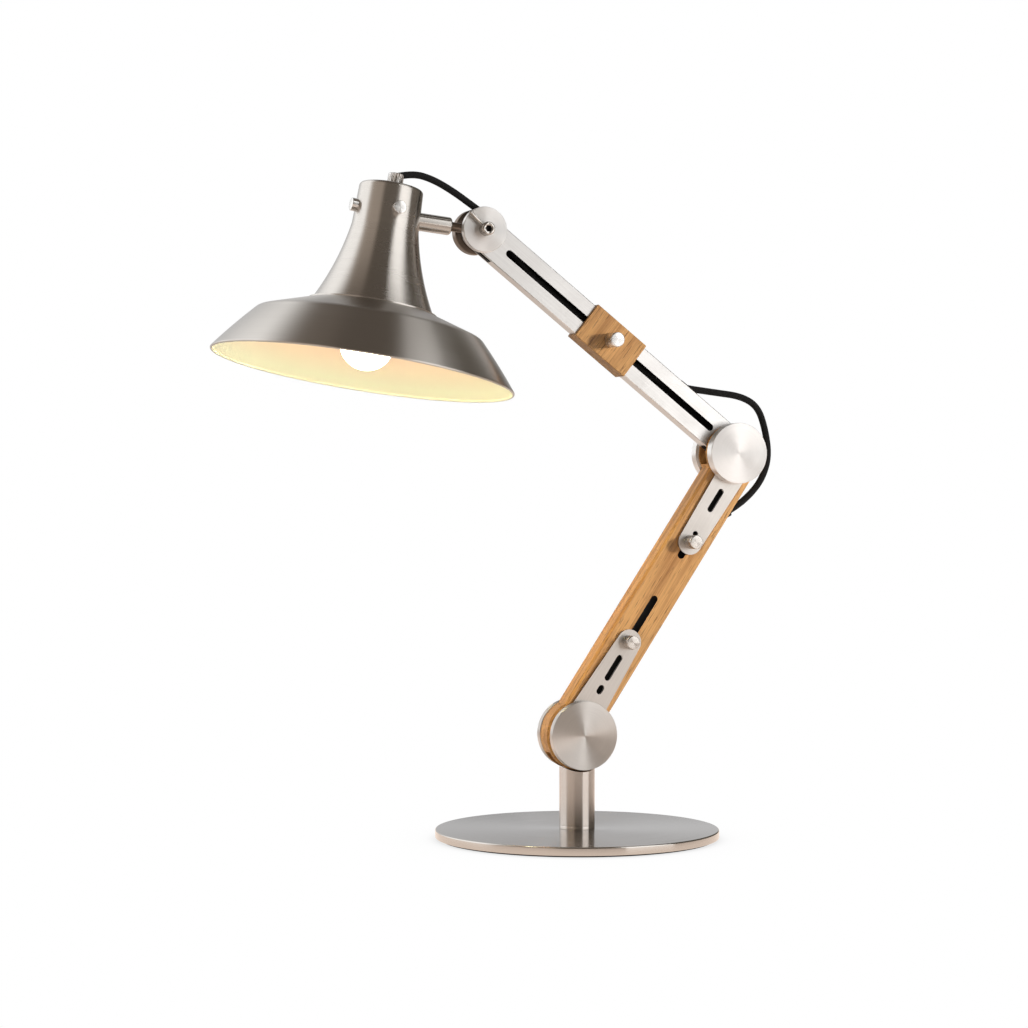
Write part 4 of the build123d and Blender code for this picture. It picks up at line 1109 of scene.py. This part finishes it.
class LAMP_OT_stage(bpy.types.Operator):
    """Sets up the floor, the studio light and the camera"""
    bl_idname = "lamp.stage"
    bl_label = "Stage"

    def floor(self, stage):
        """White paper with a soft shadow where a piece stands, lamplit where steel mirrors it."""
        bpy.ops.object.select_all(action="DESELECT")
        bpy.ops.mesh.primitive_plane_add(size=FLOOR_SIZE, location=(0, 0, FLOOR_LEVEL))
        floor = bpy.context.active_object
        floor.name = "Floor"
        bpy.ops.object.transform_apply(location=True)
        material = bpy.data.materials.new("Floor_paper")
        material.use_nodes = True
        tree = material.node_tree
        tree.nodes.clear()
        path = add(tree, "ShaderNodeLightPath")
        seen = maths(tree, "MAXIMUM", path.outputs["Is Camera Ray"], path.outputs["Is Glossy Ray"])
        seen = maths(tree, "MAXIMUM", seen, path.outputs["Is Transmission Ray"])
        corners = add(tree, "ShaderNodeAmbientOcclusion", {"samples": 12}, Distance=SHADOW_REACH)
        shadow = spread(tree, corners.outputs["AO"], 0.80, 1.0, 0.25, 0.95)
        tint = blend_colour(tree, shadow, rgba(stage.ground, 0.0), rgba(stage.ground))
        spot = add(tree, "ShaderNodeTexCoord").outputs["Object"]
        away = add(tree, "ShaderNodeVectorMath", {"operation": "LENGTH"}, Vector=spot).outputs["Value"]
        pool = blend_colour(tree, spread(tree, away, 1.0, 0.0, *POOL_FADE), rgba(stage.warm_ground, 0.75),
                            rgba(stage.warm_ground, 1.2))
        tint = blend_colour(tree, path.outputs["Is Glossy Ray"], tint, pool)
        lit = add(tree, "ShaderNodeEmission", Color=tint, Strength=1.0)
        paper = add(tree, "ShaderNodeBsdfDiffuse", Color=rgba(stage.ground, 0.85))
        clear = add(tree, "ShaderNodeBsdfTransparent")
        under = maths(tree, "MULTIPLY", add(tree, "ShaderNodeNewGeometry").outputs["Backfacing"],
                      path.outputs["Is Camera Ray"])
        upper = mix_shaders(tree, seen, paper.outputs[0], lit.outputs[0])
        output = add(tree, "ShaderNodeOutputMaterial")
        tree.links.new(mix_shaders(tree, under, upper, clear.outputs[0]), output.inputs["Surface"])
        floor.data.materials.append(material)

    def surroundings(self, stage):
        """A white ground to the camera, soft light on the lamp, and a room that its steel mirrors."""
        world = bpy.data.worlds.new("Studio")
        bpy.context.scene.world = world
        world.use_nodes = True
        tree = world.node_tree
        tree.nodes.clear()
        path = add(tree, "ShaderNodeLightPath")
        way = add(tree, "ShaderNodeSeparateXYZ", Vector=add(tree, "ShaderNodeTexCoord").outputs["Generated"])
        bearing = maths(tree, "ARCTAN2", way.outputs["Y"], way.outputs["X"])
        turn = maths(tree, "MULTIPLY", bearing, 1 / (2 * math.pi))
        turn = maths(tree, "FRACT", maths(tree, "ADD", turn, BACKDROP_TURN))
        ceiling = spread(tree, way.outputs["Z"], 0.0, 1.0, *CEILING_RISE, True)
        room = blend_colour(tree, ceiling, gradient(tree, turn, BACKDROP), rgba(CEILING))
        soft = add(tree, "ShaderNodeBackground", Color=rgba(stage.soft_tint), Strength=stage.soft_light)
        mirrored = add(tree, "ShaderNodeBackground", Color=room, Strength=1.0)
        plain = add(tree, "ShaderNodeBackground", Color=rgba(stage.ground), Strength=1.0)
        clear = maths(tree, "MAXIMUM", path.outputs["Is Camera Ray"], path.outputs["Is Transmission Ray"])
        around = mix_shaders(tree, path.outputs["Is Glossy Ray"], soft.outputs[0], mirrored.outputs[0])
        output = add(tree, "ShaderNodeOutputWorld")
        tree.links.new(mix_shaders(tree, clear, around, plain.outputs[0]), output.inputs["Surface"])

    def panel(self, name, power, spot, aim, width, height):
        """A flat lamp that stands at a spot and points at another."""
        light = bpy.data.lights.new(name, "AREA")
        light.shape = "RECTANGLE"
        light.size = width
        light.size_y = height
        light.energy = power
        lamp = bpy.data.objects.new(name, light)
        bpy.context.scene.collection.objects.link(lamp)
        lamp.location = spot
        lamp.rotation_euler = (Vector(aim) - Vector(spot)).to_track_quat("-Z", "Y").to_euler()
        return lamp

    def lamps(self, stage):
        """One lamp that lights the pieces, two screens that only steel mirrors, and a warm beam."""
        key = self.panel("Key_panel", stage.key_light, *KEY_PANEL)
        key.visible_glossy = False
        for name, power, place in (("Tall_screen", stage.screen_light, TALL_SCREEN),
                                   ("Top_screen", stage.top_light, TOP_SCREEN)):
            screen = self.panel(name, power, *place)
            screen.visible_diffuse = False
            screen.visible_camera = False
        glow = self.panel("Glow_panel", stage.warm_light, *GLOW_PANEL)
        glow.data.spread = GLOW_SPREAD
        glow.data.color = stage.warm_tint
        glow.visible_camera = False
        glow.visible_glossy = False

    def camera(self, stage):
        """A level camera at the eye's place."""
        lens = bpy.data.cameras.new("Camera")
        lens.lens = stage.lens
        lens.sensor_width = SENSOR_WIDTH
        lens.shift_y = stage.rise
        eye = bpy.data.objects.new("Camera", lens)
        bpy.context.scene.collection.objects.link(eye)
        eye.location = stage.eye
        eye.rotation_euler = (math.radians(90), 0, stage.heading)
        bpy.context.scene.camera = eye

    def execute(self, context):
        stage = context.scene.lamp_stage
        self.floor(stage)
        self.surroundings(stage)
        self.lamps(stage)
        self.camera(stage)
        context.scene.view_settings.view_transform = "Standard"
        return {"FINISHED"}


STEPS = (LAMP_OT_stand, LAMP_OT_lower_arm, LAMP_OT_upper_arm, LAMP_OT_knobs, LAMP_OT_head_joint,
         LAMP_OT_shade, LAMP_OT_bulb, LAMP_OT_flex, LAMP_OT_stage)


class LAMP_PT_panel(bpy.types.Panel):
    """Lists the steps that dress the lamp"""
    bl_idname = "LAMP_PT_panel"
    bl_label = "Desk Lamp"
    bl_space_type = "VIEW_3D"
    bl_region_type = "UI"
    bl_category = "Desk Lamp"

    def draw(self, context):
        for step in STEPS:
            self.layout.operator(step.bl_idname)
        for group in (context.scene.lamp_sizes, context.scene.lamp_finish, context.scene.lamp_stage):
            box = self.layout.box()
            for label in group.__annotations__:
                box.prop(group, label)


CLASSES = (LampSizes, LampFinish, LampStage) + STEPS + (LAMP_PT_panel,)


def register():
    """Registers the classes and gives the scene its sizes, finishes and stage."""
    for item in CLASSES:
        bpy.utils.register_class(item)
    bpy.types.Scene.lamp_sizes = PointerProperty(type=LampSizes)
    bpy.types.Scene.lamp_finish = PointerProperty(type=LampFinish)
    bpy.types.Scene.lamp_stage = PointerProperty(type=LampStage)


def unregister():
    """Takes away what register gave."""
    del bpy.types.Scene.lamp_stage
    del bpy.types.Scene.lamp_finish
    del bpy.types.Scene.lamp_sizes
    for item in reversed(CLASSES):
        bpy.utils.unregister_class(item)


def main():
    """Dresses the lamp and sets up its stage."""
    register()
    bpy.ops.lamp.stand()
    bpy.ops.lamp.lower_arm()
    bpy.ops.lamp.upper_arm()
    bpy.ops.lamp.knobs()
    bpy.ops.lamp.head_joint()
    bpy.ops.lamp.shade()
    bpy.ops.lamp.bulb()
    bpy.ops.lamp.flex()
    bpy.ops.lamp.stage()


if __name__ == "__main__":
    main()
